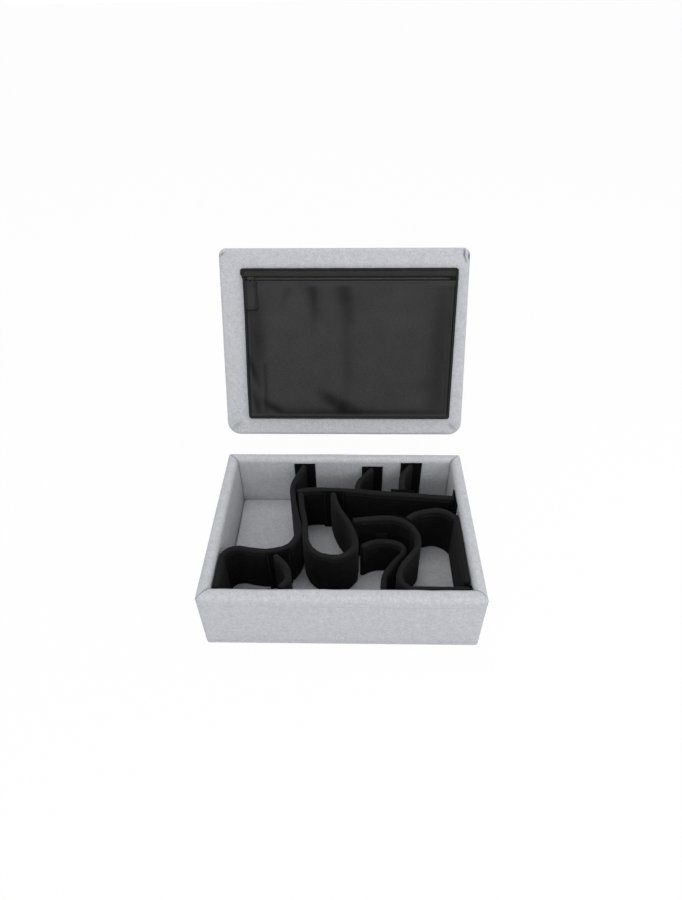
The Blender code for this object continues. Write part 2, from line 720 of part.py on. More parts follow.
def pocket_plate(name, finish, low, high, inset, base, thickness, lid):
    """A flat strip of the pocket between two heights."""
    bm = extruded(pocket_outline(low, high, inset, base), thickness, Vector((0, 0, 1)))
    return add_object(name, mesh_from(bm, name), finish, lid)


def fold_depth(across, up):
    """How far the pocket's cloth dips at a place, both as shares of the face."""
    dip = 0.0
    for middle, height, half_width, half_height, slant in POCKET_FOLD_SHARES:
        rise = up - height
        aside = across - middle - slant * rise
        dip += math.exp(-(aside / half_width) ** 2 - (rise / half_height) ** 2)
    fade = (1 - up) / FOLD_FADE_SHARE - 1
    return FOLD_DEPTH * min(dip, 1.0) * min(max(fade, 0.0), 1.0)


def build_pocket_front(lid):
    """The pocket's nylon face, a thin sheet with soft folds."""
    low = BINDING_WIDTH + FIT
    high = POCKET_HEIGHT - BINDING_WIDTH - TOP_BAND - TEETH_SLOT
    bm = bmesh.new()
    bmesh.ops.create_grid(bm, x_segments=POCKET_COLUMNS, y_segments=POCKET_ROWS, size=0.5)
    for vert in bm.verts:
        across, share = vert.co.x + 0.5, vert.co.y + 0.5
        up = low + (high - low) * share
        half = pocket_half_width(up) - BINDING_WIDTH - FIT
        vert.co = (POCKET_OFFSET + (2 * across - 1) * half, POCKET_BOTTOM + up,
                   POCKET_DEPTH - fold_depth(across, share))
    front = add_object("pocket_front", mesh_from(bm, "pocket_front"), "pocket_nylon", lid)
    shell = front.modifiers.new("cloth", "SOLIDIFY")
    shell.thickness = POCKET_CLOTH
    shell.offset = -1.0


def build_pocket_binding(lid):
    """Bound edge of the pocket: a frame that also gives the pocket its depth."""
    bm = bmesh.new()
    outer = [bm.verts.new(point) for point in pocket_outline(0.0, POCKET_HEIGHT, 0.0, FIT)]
    inner = [bm.verts.new(point) for point in pocket_outline(
        BINDING_WIDTH, POCKET_HEIGHT - BINDING_WIDTH, BINDING_WIDTH, FIT)]
    for index in range(4):
        after = (index + 1) % 4
        bm.faces.new((outer[index], outer[after], inner[after], inner[index]))
    height = POCKET_DEPTH + BINDING_STEP - FIT
    swept = bmesh.ops.extrude_face_region(bm, geom=list(bm.faces))
    raised = [item for item in swept["geom"] if isinstance(item, bmesh.types.BMVert)]
    bmesh.ops.translate(bm, vec=(0, 0, height), verts=raised)
    add_object("pocket_binding", mesh_from(bm, "pocket_binding"), "binding_tape", lid)


def tooth_outline(middle):
    """Plan of one tooth from its cord: a neck that widens to a head at the zipper's line."""
    head = (TOOTH_PITCH / 2 - FIT) / 2
    right = [(middle + head * TOOTH_NECK_SHARE, CORD_EDGE), (middle + head, 0.0),
             (middle + head * TOOTH_TIP_SHARE, -TOOTH_OVERLAP)]
    left = [(2 * middle - across, up) for across, up in right]
    return left + right[::-1]


def teeth_row(name, start, length, shift, way, lid):
    """A cord with its row of teeth, kept as a cutter that is joined to its tape."""
    count = int((length - 2 * ZIP_END_MARGIN) / TOOTH_PITCH)
    plan = [(start, TEETH_REACH), (start, CORD_EDGE)]
    for index in range(count):
        plan += tooth_outline(start + ZIP_END_MARGIN + shift + index * TOOTH_PITCH)
    plan += [(start + length, CORD_EDGE), (start + length, TEETH_REACH)]
    low = TEETH_BASE - TAPE_THICKNESS - TOOTH_DEPTH
    outline = [(across, ZIP_LINE + way * up, low) for across, up in plan]
    bm = extruded(outline, TEETH_BASE + TOOTH_HEIGHT - low, Vector((0, 0, 1)))
    row = add_object(name, mesh_from(bm, name), "zip_teeth", lid, CUTTERS)
    row.hide_render = True
    row.display_type = "WIRE"
    return row


def build_zipper(lid):
    """Top band, and the two tape halves with the rows of teeth that mesh in its slot."""
    band_high = POCKET_HEIGHT - BINDING_WIDTH - FIT
    band_low = POCKET_HEIGHT - BINDING_WIDTH - TOP_BAND
    side = BINDING_WIDTH + FIT
    pocket_plate("pocket_top_band", "pocket_nylon", band_low, band_high, side,
                 POCKET_DEPTH - POCKET_CLOTH, POCKET_CLOTH, lid)
    length = 2 * (pocket_half_width(band_low - TEETH_SLOT - TAPE_WIDTH / 2) - side)
    start = POCKET_OFFSET - length / 2
    tape_low = TEETH_BASE - TAPE_THICKNESS
    tape_edge = (CORD_EDGE + TEETH_REACH) / 2
    outline = [(tape_edge, tape_low), (TAPE_WIDTH / 2, tape_low), (TAPE_WIDTH / 2, TEETH_BASE),
               (tape_edge, TEETH_BASE)]
    for name, way, shift in (("upper", 1, 0.0), ("lower", -1, TOOTH_PITCH / 2)):
        section = [(start, ZIP_LINE + way * up, out) for up, out in outline]
        bm = extruded(section, length)
        tape = add_object("zip_tape_" + name, mesh_from(bm, "zip_tape_" + name), "zip_teeth", lid)
        union = tape.modifiers.new("teeth", "BOOLEAN")
        union.operation = "UNION"
        union.object = teeth_row(name + "_teeth", start, length, shift, way, lid)


def build_slider(lid):
    """Slider that straddles the teeth, with the bail that holds the pull's ring."""
    reach = TEETH_REACH + FIT
    under = TEETH_BASE + FIT + TOOTH_HEIGHT + FIT
    over = under + SLIDER_WALL
    lip_low = TEETH_BASE + FIT
    carrier = add_empty("zip_slider_run", (POCKET_LEFT + SLIDER_START, ZIP_LINE, over), lid)
    outline = [
        (-reach - SLIDER_LIP, lip_low), (-reach, lip_low), (-reach, under), (reach, under),
        (reach, lip_low), (reach + SLIDER_LIP, lip_low), (reach + SLIDER_LIP, over),
        (-reach - SLIDER_LIP, over),
    ]
    section = [(-SLIDER_LENGTH / 2, up, out - over) for up, out in outline]
    bm = extruded(section, SLIDER_LENGTH)
    body = add_object("zip_slider", mesh_from(bm, "zip_slider"), "black_metal", carrier)

    wire_level = FIT + PULL_WIRE / 2
    hole = PULL_WIRE / 2 + FIT
    rise = wire_level + hole
    half = BAIL_SPAN / 2
    arch = [
        (-half, -SLIDER_WALL / 2), (-hole, -SLIDER_WALL / 2), (-hole, wire_level),
        *[(across, wire_level + out) for across, out in arc((0, 0), hole, 180, 0, ROLL_STEPS)][1:-1],
        (hole, wire_level), (hole, -SLIDER_WALL / 2), (half, -SLIDER_WALL / 2),
        (half * BAIL_TOP_SHARE, rise + SLIDER_WALL), (-half * BAIL_TOP_SHARE, rise + SLIDER_WALL),
    ]
    section = [(-BAIL_WIDTH / 2, up, out) for up, out in arch]
    bm = extruded(section, BAIL_WIDTH)
    bail = add_object("bail_blank", mesh_from(bm, "bail_blank"), "black_metal", carrier, CUTTERS)
    bail.hide_render = True
    bail.display_type = "WIRE"
    union = body.modifiers.new("bail", "BOOLEAN")
    union.operation = "UNION"
    union.object = bail
    return carrier, wire_level


def build_pull(slider, wire_level):
    """Wire ring through the bail and the wide webbing tab sewn round it."""
    pivot = add_empty("pull_pivot", (0, 0, wire_level), slider)
    ring = bpy.data.curves.new("pull_ring", "CURVE")
    ring.dimensions = "3D"
    ring.bevel_depth = PULL_WIRE / 2
    ring.bevel_resolution = 1
    spline = ring.splines.new("POLY")
    corner = PULL_WIRE
    half = RING_WIDTH / 2 - PULL_WIRE / 2
    bends = [((half - corner, -corner), 90, 0), ((half - corner, corner - RING_DROP), 0, -90),
             ((corner - half, corner - RING_DROP), -90, -180), ((corner - half, -corner), 180, 90)]
    loop = []
    for centre, start, end in bends:
        loop += arc(centre, corner, start, end, BEND_STEPS)
    spline.points.add(len(loop) - 1)
    for point, (across, up) in zip(spline.points, loop):
        point.co = (across, up, 0.0, 1.0)
    spline.use_cyclic_u = True
    spline.use_smooth = True
    add_object("pull_ring", ring, "black_metal", pivot)

    eye_hole = PULL_WIRE / 2 + FIT
    eye = eye_hole + PULL_TAB_THICKNESS / 2
    bar = -RING_DROP
    back = -eye
    front = back + PULL_TAB_THICKNESS
    end = bar - PULL_TAB_LENGTH
    # The webbing's section: a straight tab whose top is folded round the bar
    outer = arc((bar, 0), eye, -90, EYE_WRAP_DEG, EYE_STEPS)
    inner = arc((bar, 0), eye_hole, EYE_WRAP_DEG, EYE_INNER_START_DEG, EYE_STEPS)
    outline = [(end, back)] + outer + inner + [(bar - eye * FOLD_RAMP_SHARE, front), (end, front)]
    section = [(-PULL_TAB_WIDTH / 2, up, out) for up, out in outline]
    bm = extruded(section, PULL_TAB_WIDTH)
    add_object("pull_tab", mesh_from(bm, "pull_tab"), "pocket_nylon", pivot)


def build_lid():
    """The lid panel on its hinge axis, opened, with its pocket and zipper."""
    hinge = add_empty("lid_hinge", (0, TRAY_DEPTH / 2 + HINGE_BEHIND_TRAY,
                                    TRAY_HEIGHT + HINGE_ABOVE_RIM))
    hinge.rotation_euler.x = math.radians(180 - LID_OPEN_DEG)
    edge_from_hinge = TRAY_DEPTH / 2 + HINGE_BEHIND_TRAY - LID_HEIGHT / 2
    lid = add_empty("lid_face", (0, edge_from_hinge, HINGE_ABOVE_RIM - LID_CLOSING_GAP), hinge)
    build_lid_panel(lid)
    build_pocket_binding(lid)
    build_pocket_front(lid)
    build_zipper(lid)
    slider, wire_level = build_slider(lid)
    build_pull(slider, wire_level)


build_walls()
build_floor()
build_dividers()
build_lid()
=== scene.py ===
"""Finished look of a padded divider kit for a hard equipment case.

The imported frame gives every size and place, in metres with +Z up. Each class
dresses one sub-assembly: the padded tray, the bent dividers with their hook
tabs, the padded lid panel, and its zipped pocket.
"""

import json
import logging
import math
from dataclasses import dataclass, field
from enum import Enum
from functools import cache, cached_property
from typing import Callable

import bmesh
import bpy
import numpy as np
from mathutils import Matrix, Vector


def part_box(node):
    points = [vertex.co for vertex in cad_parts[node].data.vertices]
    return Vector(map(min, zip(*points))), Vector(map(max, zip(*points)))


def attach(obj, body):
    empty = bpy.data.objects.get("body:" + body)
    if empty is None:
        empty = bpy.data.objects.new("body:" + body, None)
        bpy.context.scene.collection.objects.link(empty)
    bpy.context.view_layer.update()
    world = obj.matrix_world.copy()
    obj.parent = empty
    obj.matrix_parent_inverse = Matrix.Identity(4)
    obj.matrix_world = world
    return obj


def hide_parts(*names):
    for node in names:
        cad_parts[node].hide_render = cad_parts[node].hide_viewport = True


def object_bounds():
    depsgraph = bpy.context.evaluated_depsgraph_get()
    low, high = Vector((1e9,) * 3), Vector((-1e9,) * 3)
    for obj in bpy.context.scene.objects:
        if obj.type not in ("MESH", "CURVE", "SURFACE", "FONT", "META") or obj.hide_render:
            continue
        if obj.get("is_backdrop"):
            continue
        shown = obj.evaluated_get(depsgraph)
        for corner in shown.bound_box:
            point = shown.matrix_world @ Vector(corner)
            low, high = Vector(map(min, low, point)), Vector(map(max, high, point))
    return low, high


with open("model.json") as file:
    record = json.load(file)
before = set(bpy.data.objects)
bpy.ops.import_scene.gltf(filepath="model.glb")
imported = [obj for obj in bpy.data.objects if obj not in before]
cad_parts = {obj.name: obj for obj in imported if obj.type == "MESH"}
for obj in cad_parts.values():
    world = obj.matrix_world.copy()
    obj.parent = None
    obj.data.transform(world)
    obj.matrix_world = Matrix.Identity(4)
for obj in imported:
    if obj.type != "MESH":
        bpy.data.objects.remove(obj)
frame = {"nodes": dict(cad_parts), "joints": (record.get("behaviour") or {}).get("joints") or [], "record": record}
CAD_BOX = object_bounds()
LOG = logging.getLogger("divider_kit")

MM = 0.001
TRAY = "tray"
LID = "lid_panel"
PULL = "pull"
SEED = 7
FLOOR_SEED = SEED + 60
DIVIDER_SEED = SEED + 100
LID_SEED = SEED + 200
POCKET_SEED = SEED + 300
WALL_SEED_STEP = 10
DIVIDER_SEED_STEP = 5
WELD_DECIMALS = 5
RIDGE_TOLERANCE = 0.02 * MM
SMOOTH_ANGLE = math.radians(50)
QUARTERS = ((1, 1), (-1, 1), (-1, -1), (1, -1))
WHITE = (1.0, 1.0, 1.0, 1.0)

Colour = tuple[float, float, float, float]
Place = tuple[float, float, float]


class Slot(Enum):
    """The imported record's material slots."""

    GREY_CLOTH = "grey_loop_cloth"
    BLACK_CLOTH = "black_loop_cloth"
    HOOK_TAPE = "hook_tape"
    NYLON = "pocket_nylon"
    BINDING = "binding_tape"
    ZIPPER = "zip_teeth"
    METAL = "black_metal"


class Zone(Enum):
    """Parts of a padded block."""

    TOP = 1
    RIM = 0
    UNDERSIDE = -1


# Smooth random fields and plan curves

@dataclass(frozen=True)
class Lumps:
    """Smooth random unevenness: about a size apart, a depth high, and drawn by a seed."""

    size: float
    depth: float = 1.0
    seed: int = 0
    waves: int = 14
    size_shares: tuple[float, float] = (0.8, 1.9)
    crest: float = 1.6

    def field(self, points: np.ndarray, seed: int = 0) -> np.ndarray:
        """The height of the unevenness at each place.

        Args:
            points: Places, with their coordinates on the last axis.
            seed: Added to the lumps' own seed.

        Returns:
            One height for each place, mostly between minus the depth and the depth.
        """
        rng = np.random.default_rng(self.seed + seed)
        heading = rng.normal(size=(points.shape[-1], self.waves))
        heading /= np.linalg.norm(heading, axis=0)
        turns = 2 * math.pi / (self.size * rng.uniform(*self.size_shares, self.waves))
        phase = rng.uniform(0, 2 * math.pi, self.waves)
        height = np.sin(points @ heading * turns + phase).sum(axis=-1)
        return self.depth * height / math.sqrt(self.waves / 2) / self.crest

    def dents(self, points: np.ndarray, seed: int = 0) -> np.ndarray:
        """The unevenness as dents, mostly from 0 to the depth."""
        return (self.depth + self.field(points, seed)) / 2


def step_up(value: np.ndarray, low: float, high: float) -> np.ndarray:
    """A smooth step from 0 at low to 1 at high."""
    share = np.clip((value - low) / (high - low), 0.0, 1.0)
    return share * share * (3 - 2 * share)


def nearness(distance: np.ndarray, reach: float) -> np.ndarray:
    """1 where the distance is 0, and 0 from a reach on."""
    return np.clip(1 - distance / reach, 0.0, 1.0)


def rounding(distance: np.ndarray, radius: float) -> np.ndarray:
    """How far a rolled edge lies back at a distance from it, as a share of its radius."""
    return 1 - np.sqrt(1 - nearness(distance, radius) ** 2)


def closed(loop: np.ndarray) -> np.ndarray:
    """A loop of points with its first point at its end too."""
    return np.vstack([loop, loop[:1]])


def lengths_along(route: np.ndarray) -> np.ndarray:
    """Distance of each point from the route's start, along the route."""
    return np.concatenate([[0.0], np.cumsum(np.linalg.norm(np.diff(route, axis=0), axis=1))])


def respaced(route: np.ndarray, step: float, fine_steps: int = 8) -> np.ndarray:
    """The route through the same places, its points evenly spaced and its bends smooth.

    Args:
        route: Points of a plan or space curve, one row each.
        step: Wanted distance between points.
        fine_steps: Steps between two old points on the curve that is measured.

    Returns:
        The new points, the two ends among them.
    """
    if len(route) > 2:
        rail = np.vstack([2 * route[0] - route[1], route, 2 * route[-1] - route[-2]])
        shares = np.linspace(0, 1, fine_steps, endpoint=False)[:, None]
        fine = [0.5 * (2 * start + (end - before) * shares
                       + (2 * before - 5 * start + 4 * end - after) * shares ** 2
                       + (3 * start - before - 3 * end + after) * shares ** 3)
                for before, start, end, after in zip(rail, rail[1:], rail[2:], rail[3:])]
        route = np.vstack(fine + [route[-1:]])
    along = lengths_along(route)
    places = np.linspace(0, along[-1], max(2, round(along[-1] / step) + 1))
    return np.column_stack([np.interp(places, along, axis) for axis in route.T])


def plan_normals(route: np.ndarray) -> np.ndarray:
    """Left-hand unit normals of a plan route, one for each of its points."""
    heading = np.gradient(route, axis=0)
    heading /= np.linalg.norm(heading, axis=1)[:, None]
    return np.column_stack([-heading[:, 1], heading[:, 0]])


def loop_normals(loop: np.ndarray) -> np.ndarray:
    """Outward unit normals of a plan loop that runs anticlockwise."""
    heading = np.roll(loop, -1, axis=0) - np.roll(loop, 1, axis=0)
    heading /= np.linalg.norm(heading, axis=1)[:, None]
    return np.column_stack([heading[:, 1], -heading[:, 0]])


def plan_bend(route: np.ndarray, reach: int) -> np.ndarray:
    """How sharply a plan route turns left.

    Args:
        route: Points in plan, one row each.
        reach: How many points on each side are averaged.

    Returns:
        The bend at each point, in radians a metre.
    """
    heading = np.gradient(route, axis=0)
    angle = np.unwrap(np.arctan2(heading[:, 1], heading[:, 0]))
    window = np.hanning(2 * reach + 3)[1:-1]
    padded = np.pad(np.gradient(angle, lengths_along(route)), reach, mode="edge")
    return np.convolve(padded, window / window.sum(), mode="valid")


def spokes(turns: np.ndarray) -> np.ndarray:
    """Unit directions in plan, at turns in radians from the first axis."""
    return np.column_stack([np.cos(turns), np.sin(turns)])


def circle(radius: float, sides: int) -> np.ndarray:
    """A ring of points round the origin."""
    return radius * spokes(np.linspace(0, 2 * math.pi, sides, endpoint=False))


def arc(centre: np.ndarray, radius: float, start: float, steps: int) -> np.ndarray:
    """A quarter of a circle in plan, anticlockwise.

    Args:
        centre: The circle's middle.
        radius: Its radius.
        start: Where the quarter starts, in degrees from the first axis.
        steps: How many steps it has.

    Returns:
        The quarter's points, one row each.
    """
    return centre + radius * spokes(np.radians(np.linspace(start, start + 90, steps + 1)))


def corner_arcs(low: np.ndarray, high: np.ndarray, radii: tuple[float, ...],
                steps: int) -> list[np.ndarray]:
    """The round corners of a box in plan.

    Args:
        low: The box's lower left corner.
        high: Its upper right corner.
        radii: Radius of each round corner, in the order of QUARTERS.
        steps: Steps in each corner.

    Returns:
        One arc for each corner, anticlockwise from the upper right one.
    """
    arcs = []
    for index, (way, radius) in enumerate(zip(QUARTERS, radii)):
        corner = np.where(np.array(way) > 0, high[:2], low[:2])
        arcs.append(arc(corner - radius * np.array(way), radius, 90 * index, steps))
    return arcs


def round_profile(width: float, height: float, radius: float, step: float, turns: int,
                  foot: float | None = None) -> np.ndarray:
    """A rounded rectangle round the origin, anticlockwise from its upper right corner.

    Args:
        width: Size along the first axis.
        height: Size along the second axis.
        radius: Radius of the upper corners.
        step: Wanted distance between points on the straight sides.
        turns: Steps in each corner.
        foot: Radius of the lower corners, the same as the upper ones if left out.

    Returns:
        The outline's points, without the first one repeated.
    """
    half = np.array([width, height]) / 2
    foot = radius if foot is None else foot
    arcs = corner_arcs(-half, half, (radius, radius, foot, foot), turns)
    points: list[np.ndarray] = []
    for bend, following in zip(arcs, arcs[1:] + arcs[:1]):
        run = following[0] - bend[-1]
        count = max(0, round(np.linalg.norm(run) / step) - 1)
        points += [bend, bend[-1] + run * np.linspace(0, 1, count + 2)[1:-1, None]]
    return np.vstack(points)


def swept(route: np.ndarray, sides: np.ndarray, outline: np.ndarray) -> np.ndarray:
    """An outline carried along a plan route.

    Args:
        route: The route's points in plan.
        sides: A unit direction in plan for each point of the route.
        outline: Points as an offset along that direction and a level over the plan.

    Returns:
        One ring of points for each point of the route.
    """
    flat = route[:, None] + sides[:, None] * outline[:, :1]
    levels = np.broadcast_to(outline[:, 1], flat.shape[:2])
    return np.concatenate([flat, levels[..., None]], axis=2)


def upright(place: np.ndarray, low: float, high: float, count: int = 30) -> np.ndarray:
    """A straight upright line over a place in plan."""
    return np.linspace((*place, low), (*place, high), count)


# Meshes

def linked(name: str, data: bpy.types.ID) -> bpy.types.Object:
    """A new object of the scene, at the origin."""
    made = bpy.data.objects.new(name, data)
    bpy.context.scene.collection.objects.link(made)
    return made


class Skin:
    """Points, faces and the map in metres of one mesh, gathered part by part."""

    def __init__(self) -> None:
        """Start with nothing."""
        self.points: list[np.ndarray] = []
        self.faces: list[np.ndarray] = []
        self.maps: list[np.ndarray] = []

    def add(self, points: np.ndarray) -> np.ndarray:
        """Keep points, and number them in the same rows."""
        first = len(self.points)
        self.points.extend(points.reshape(-1, 3))
        return np.arange(first, len(self.points)).reshape(points.shape[:-1])

    def fill(self, numbers: np.ndarray, places: np.ndarray) -> None:
        """Fill a grid of numbered points with quads, mapped by its places on the cloth."""
        for grid, kept in ((numbers, self.faces), (places, self.maps)):
            corners = np.stack([grid[:-1, :-1], grid[:-1, 1:], grid[1:, 1:], grid[1:, :-1]], axis=2)
            kept.extend(corners.reshape(-1, *corners.shape[2:]))

    def cap(self, numbers: np.ndarray) -> None:
        """Close a ring of numbered points with one face."""
        self.faces.append(numbers)
        self.maps.append(np.zeros((len(numbers), 2)))

    def loft(self, rings: np.ndarray, across: np.ndarray | None = None,
             endless: bool = False) -> None:
        """Skin closed rings, and cap both ends or join the last ring to the first.

        Args:
            rings: Points as rows of rings, each ring a row of points.
            across: Distance of each ring point round its ring; measured if left out.
            endless: Whether the last ring joins the first.
        """
        numbers = self.add(rings)
        if across is None:
            across = lengths_along(closed(rings[len(rings) // 2]))
        middle = rings.mean(axis=1)
        if not endless:
            self.cap(numbers[0])
            self.cap(numbers[-1])
        along = lengths_along(closed(middle) if endless else middle)
        numbers = closed(numbers) if endless else numbers
        places = np.stack(np.meshgrid(across, along)[::-1], axis=2)
        self.fill(np.column_stack([numbers, numbers[:, 0]]), places)

    def build(self, name: str, solid: bool = True) -> bpy.types.Object:
        """Make the object.

        Args:
            name: Its name.
            solid: Whether it is a closed body, whose faces then turn outward.

        Returns:
            The smooth-shaded object, with the map named "cloth".
        """
        data = bpy.data.meshes.new(name)
        data.from_pydata(self.points, [], [face.tolist() for face in self.faces])
        layer = data.uv_layers.new(name="cloth")
        layer.data.foreach_set("uv", np.vstack(self.maps).ravel())
        data.shade_smooth()
        if solid:
            bm = bmesh.new()
            bm.from_mesh(data)
            bmesh.ops.recalc_face_normals(bm, faces=bm.faces)
            bm.to_mesh(data)
            bm.free()
            data.set_sharp_from_angle(angle=SMOOTH_ANGLE)
        return linked(name, data)


def lofted(name: str, rings: np.ndarray) -> bpy.types.Object:
    """Skin closed rings into one closed body."""
    skin = Skin()
    skin.loft(rings)
    return skin.build(name)


def sheet_of(name: str, grid: np.ndarray, thickness: float) -> bpy.types.Object:
    """A cloth sheet with a thickness, from a grid of points on its face.

    Args:
        name: Name of the new object.
        grid: Points as rows and columns; rows run up, columns run to the right.
        thickness: How far the back lies behind the face.

    Returns:
        The closed sheet.
    """
    rows, columns = grid.shape[:2]
    across, along = lengths_along(grid[rows // 2]), lengths_along(grid[:, columns // 2])
    skin = Skin()
    skin.fill(skin.add(grid), np.stack(np.meshgrid(across, along), axis=2))
    made = skin.build(name, solid=False)
    shell = made.modifiers.new("thickness", "SOLIDIFY")
    shell.thickness = thickness
    shell.offset = -1.0
    shell.use_even_offset = True
    return made


@dataclass
class PadBlock:
    """A padded block on a plan of its own, rolled at its edges and rounded at its corners.

    Its radii follow QUARTERS, and its margin is a border of finer lines.
    """

    low: np.ndarray
    high: np.ndarray
    roll: float
    under_roll: float
    radii: tuple[float, float, float, float]
    step: float
    side_lines: int
    roll_lines: int = 6
    margin: float = 0.0
    margin_step: float = 1.3 * MM

    def lines(self, axis: int) -> np.ndarray:
        """Grid lines along one axis.

        Args:
            axis: The axis of the plan.

        Returns:
            Their places, close together at the rolled edges and in the margin.
        """
        reach = max(self.roll, self.under_roll)
        edge = reach * (1 - np.cos(np.linspace(0, math.pi / 2, self.roll_lines + 1)))
        if self.margin > reach:
            lines = round((self.margin - reach) / self.margin_step) + 1
            edge = np.concatenate([edge, np.linspace(reach, self.margin, lines)[1:]])
        low, high = self.low[axis] + edge[-1], self.high[axis] - edge[-1]
        inner = np.linspace(low, high, max(3, round((high - low) / self.step) + 1))[1:-1]
        return np.concatenate([self.low[axis] + edge, inner, self.high[axis] - edge[::-1]])

    def rounded(self, plan: np.ndarray) -> np.ndarray:
        """Carry a square plan onto one with round corners.

        Args:
            plan: Places in plan, one row each.

        Returns:
            The places, those near a corner drawn in.
        """
        moved = plan.copy()
        for radius, way in zip(self.radii, np.array(QUARTERS)):
            centre = np.where(way > 0, self.high[:2], self.low[:2]) - radius * way
            offset = (plan - centre) * way
            inside = (offset > 0).all(axis=1)
            most = offset[inside].max(axis=1)
            size = np.linalg.norm(offset[inside], axis=1)
            moved[inside] = centre + offset[inside] * (most / size)[:, None] * way
        return moved

    def build(self, name: str, shape: Callable[[np.ndarray, np.ndarray, Zone], np.ndarray],
              place: Callable[[np.ndarray], np.ndarray]) -> bpy.types.Object:
        """Make the block.

        Args:
            name: Name of the new object.
            shape: Given points, their distance from the plan's edge and their zone,
                returns moved points.
            place: Carries points from the block's plan into the row frame.

        Returns:
            The closed block.
        """
        across, along = self.lines(0), self.lines(1)
        plan = np.array([(x, y) for y in along for x in across])
        edge = np.minimum(plan - self.low[:2], self.high[:2] - plan).min(axis=1)
        plan = self.rounded(plan)
        cells = np.arange(len(plan)).reshape(len(along), len(across))
        rim = np.concatenate([cells[0], cells[1:, -1], cells[-1, -2::-1], cells[-2:0:-1, 0]])
        skin = Skin()

        def level(spots: np.ndarray, height: np.ndarray, zone: Zone) -> np.ndarray:
            """Add the shaped points of some spots of the plan at a height."""
            points = np.column_stack([plan[spots], np.broadcast_to(height, len(spots))])
            return skin.add(place(shape(points, edge[spots], zone)))

        every = cells.ravel()
        upper = level(every, self.high[2] - self.roll * rounding(edge, self.roll), Zone.TOP)
        lower = level(every, self.low[2] + self.under_roll * rounding(edge, self.under_roll),
                      Zone.UNDERSIDE)
        heights = np.linspace(self.high[2] - self.roll, self.low[2] + self.under_roll,
                              self.side_lines + 2)[1:-1]
        sides = [level(rim, height, Zone.RIM) for height in heights]
        sides = np.array([upper[rim], *sides, lower[rim]])
        flat = plan - self.low[:2]
        skin.fill(upper[cells], flat[cells])
        skin.fill(lower[cells], flat[cells])
        wrapped = flat[np.append(rim, rim[0])]
        skin.fill(np.column_stack([sides, sides[:, 0]]), np.stack([wrapped] * len(sides)))
        return skin.build(name)


# Node trees

class Value:
    """A node's output, which takes part in sums as a number does."""

    def __init__(self, graph: "Graph", socket: bpy.types.NodeSocket) -> None:
        """Keep a socket of a graph."""
        self.graph = graph
        self.socket = socket

    def __add__(self, other: object) -> "Value":
        """The sum."""
        return self.graph.math("ADD", self, other)

    def __sub__(self, other: object) -> "Value":
        """The difference."""
        return self.graph.math("SUBTRACT", self, other)

    def __rsub__(self, other: object) -> "Value":
        """The difference from a number."""
        return self.graph.math("SUBTRACT", other, self)

    def __mul__(self, other: object) -> "Value":
        """The product."""
        return self.graph.math("MULTIPLY", self, other)

    def __truediv__(self, other: object) -> "Value":
        """The quotient."""
        return self.graph.math("DIVIDE", self, other)

    def __pow__(self, other: object) -> "Value":
        """The power."""
        return self.graph.math("POWER", self, other)


class Graph:
    """A node tree that is being built."""

    mix_sockets = {"share": 0, "low": 6, "high": 7, "result": 2}

    def __init__(self, tree: bpy.types.NodeTree) -> None:
        """Start on a tree."""
        self.tree = tree

    def add(self, kind: str, inputs: dict[str | int, object] | None = None,
            **settings: object) -> bpy.types.Node:
        """Add a node, set its options, and link or set its inputs.

        Args:
            kind: Blender's name for the node's type.
            inputs: Sockets by name or index, each with a value or what to link.
            **settings: Options of the node.

        Returns:
            The new node.
        """
        node = self.tree.nodes.new(kind)
        for option, value in settings.items():
            setattr(node, option, value)
        for key, value in (inputs or {}).items():
            self.feed(node.inputs[key], value)
        return node

    def feed(self, socket: bpy.types.NodeSocket, value: object) -> None:
        """Link a socket to a value of the graph, or set it.

        Args:
            socket: The input.
            value: A value of the graph, or what to set.
        """
        if isinstance(value, Value):
            self.tree.links.new(value.socket, socket)
        else:
            socket.default_value = value

    def value(self, kind: str, inputs: dict[str | int, object] | None = None,
              output: str | int = 0, **settings: object) -> Value:
        """Add a node as add does, and return one of its outputs."""
        return Value(self, self.add(kind, inputs, **settings).outputs[output])

    def math(self, operation: str, *values: object) -> Value:
        """The result of a Math node."""
        return self.value("ShaderNodeMath", dict(enumerate(values)), operation=operation)

    def humps(self, value: Value) -> Value:
        """A round hump from each whole number to the next."""
        return self.math("ABSOLUTE", self.math("SINE", value * math.pi))

    def mix(self, share: object, low: object, high: object) -> Value:
        """The mix of two colours."""
        sockets = self.mix_sockets
        return self.value("ShaderNodeMix", {sockets["share"]: share, sockets["low"]: low,
                                            sockets["high"]: high}, sockets["result"],
                          data_type="RGBA")

    def spread(self, value: object, low: float, high: float, new_low: float = 0.0,
               new_high: float = 1.0) -> Value:
        """A value carried from one range to another, and held there."""
        return self.value("ShaderNodeMapRange", {"Value": value, "From Min": low, "From Max": high,
                                                 "To Min": new_low, "To Max": new_high})

    def noise(self, place: object, scale: object, detail: float = 2.0, rough: float = 0.5,
              bent: float = 0.0) -> Value:
        """The value of a Noise Texture."""
        return self.value("ShaderNodeTexNoise", {"Vector": place, "Scale": scale, "Detail": detail,
                                                 "Roughness": rough, "Distortion": bent})

    def seen(self) -> Value:
        """1 for what the camera, or a glossy or clear surface, sees."""
        path = self.add("ShaderNodeLightPath")
        camera, glossy, clear = (Value(self, path.outputs[f"Is {ray} Ray"])
                                 for ray in ("Camera", "Glossy", "Transmission"))
        return self.math("MAXIMUM", self.math("MAXIMUM", camera, glossy), clear)


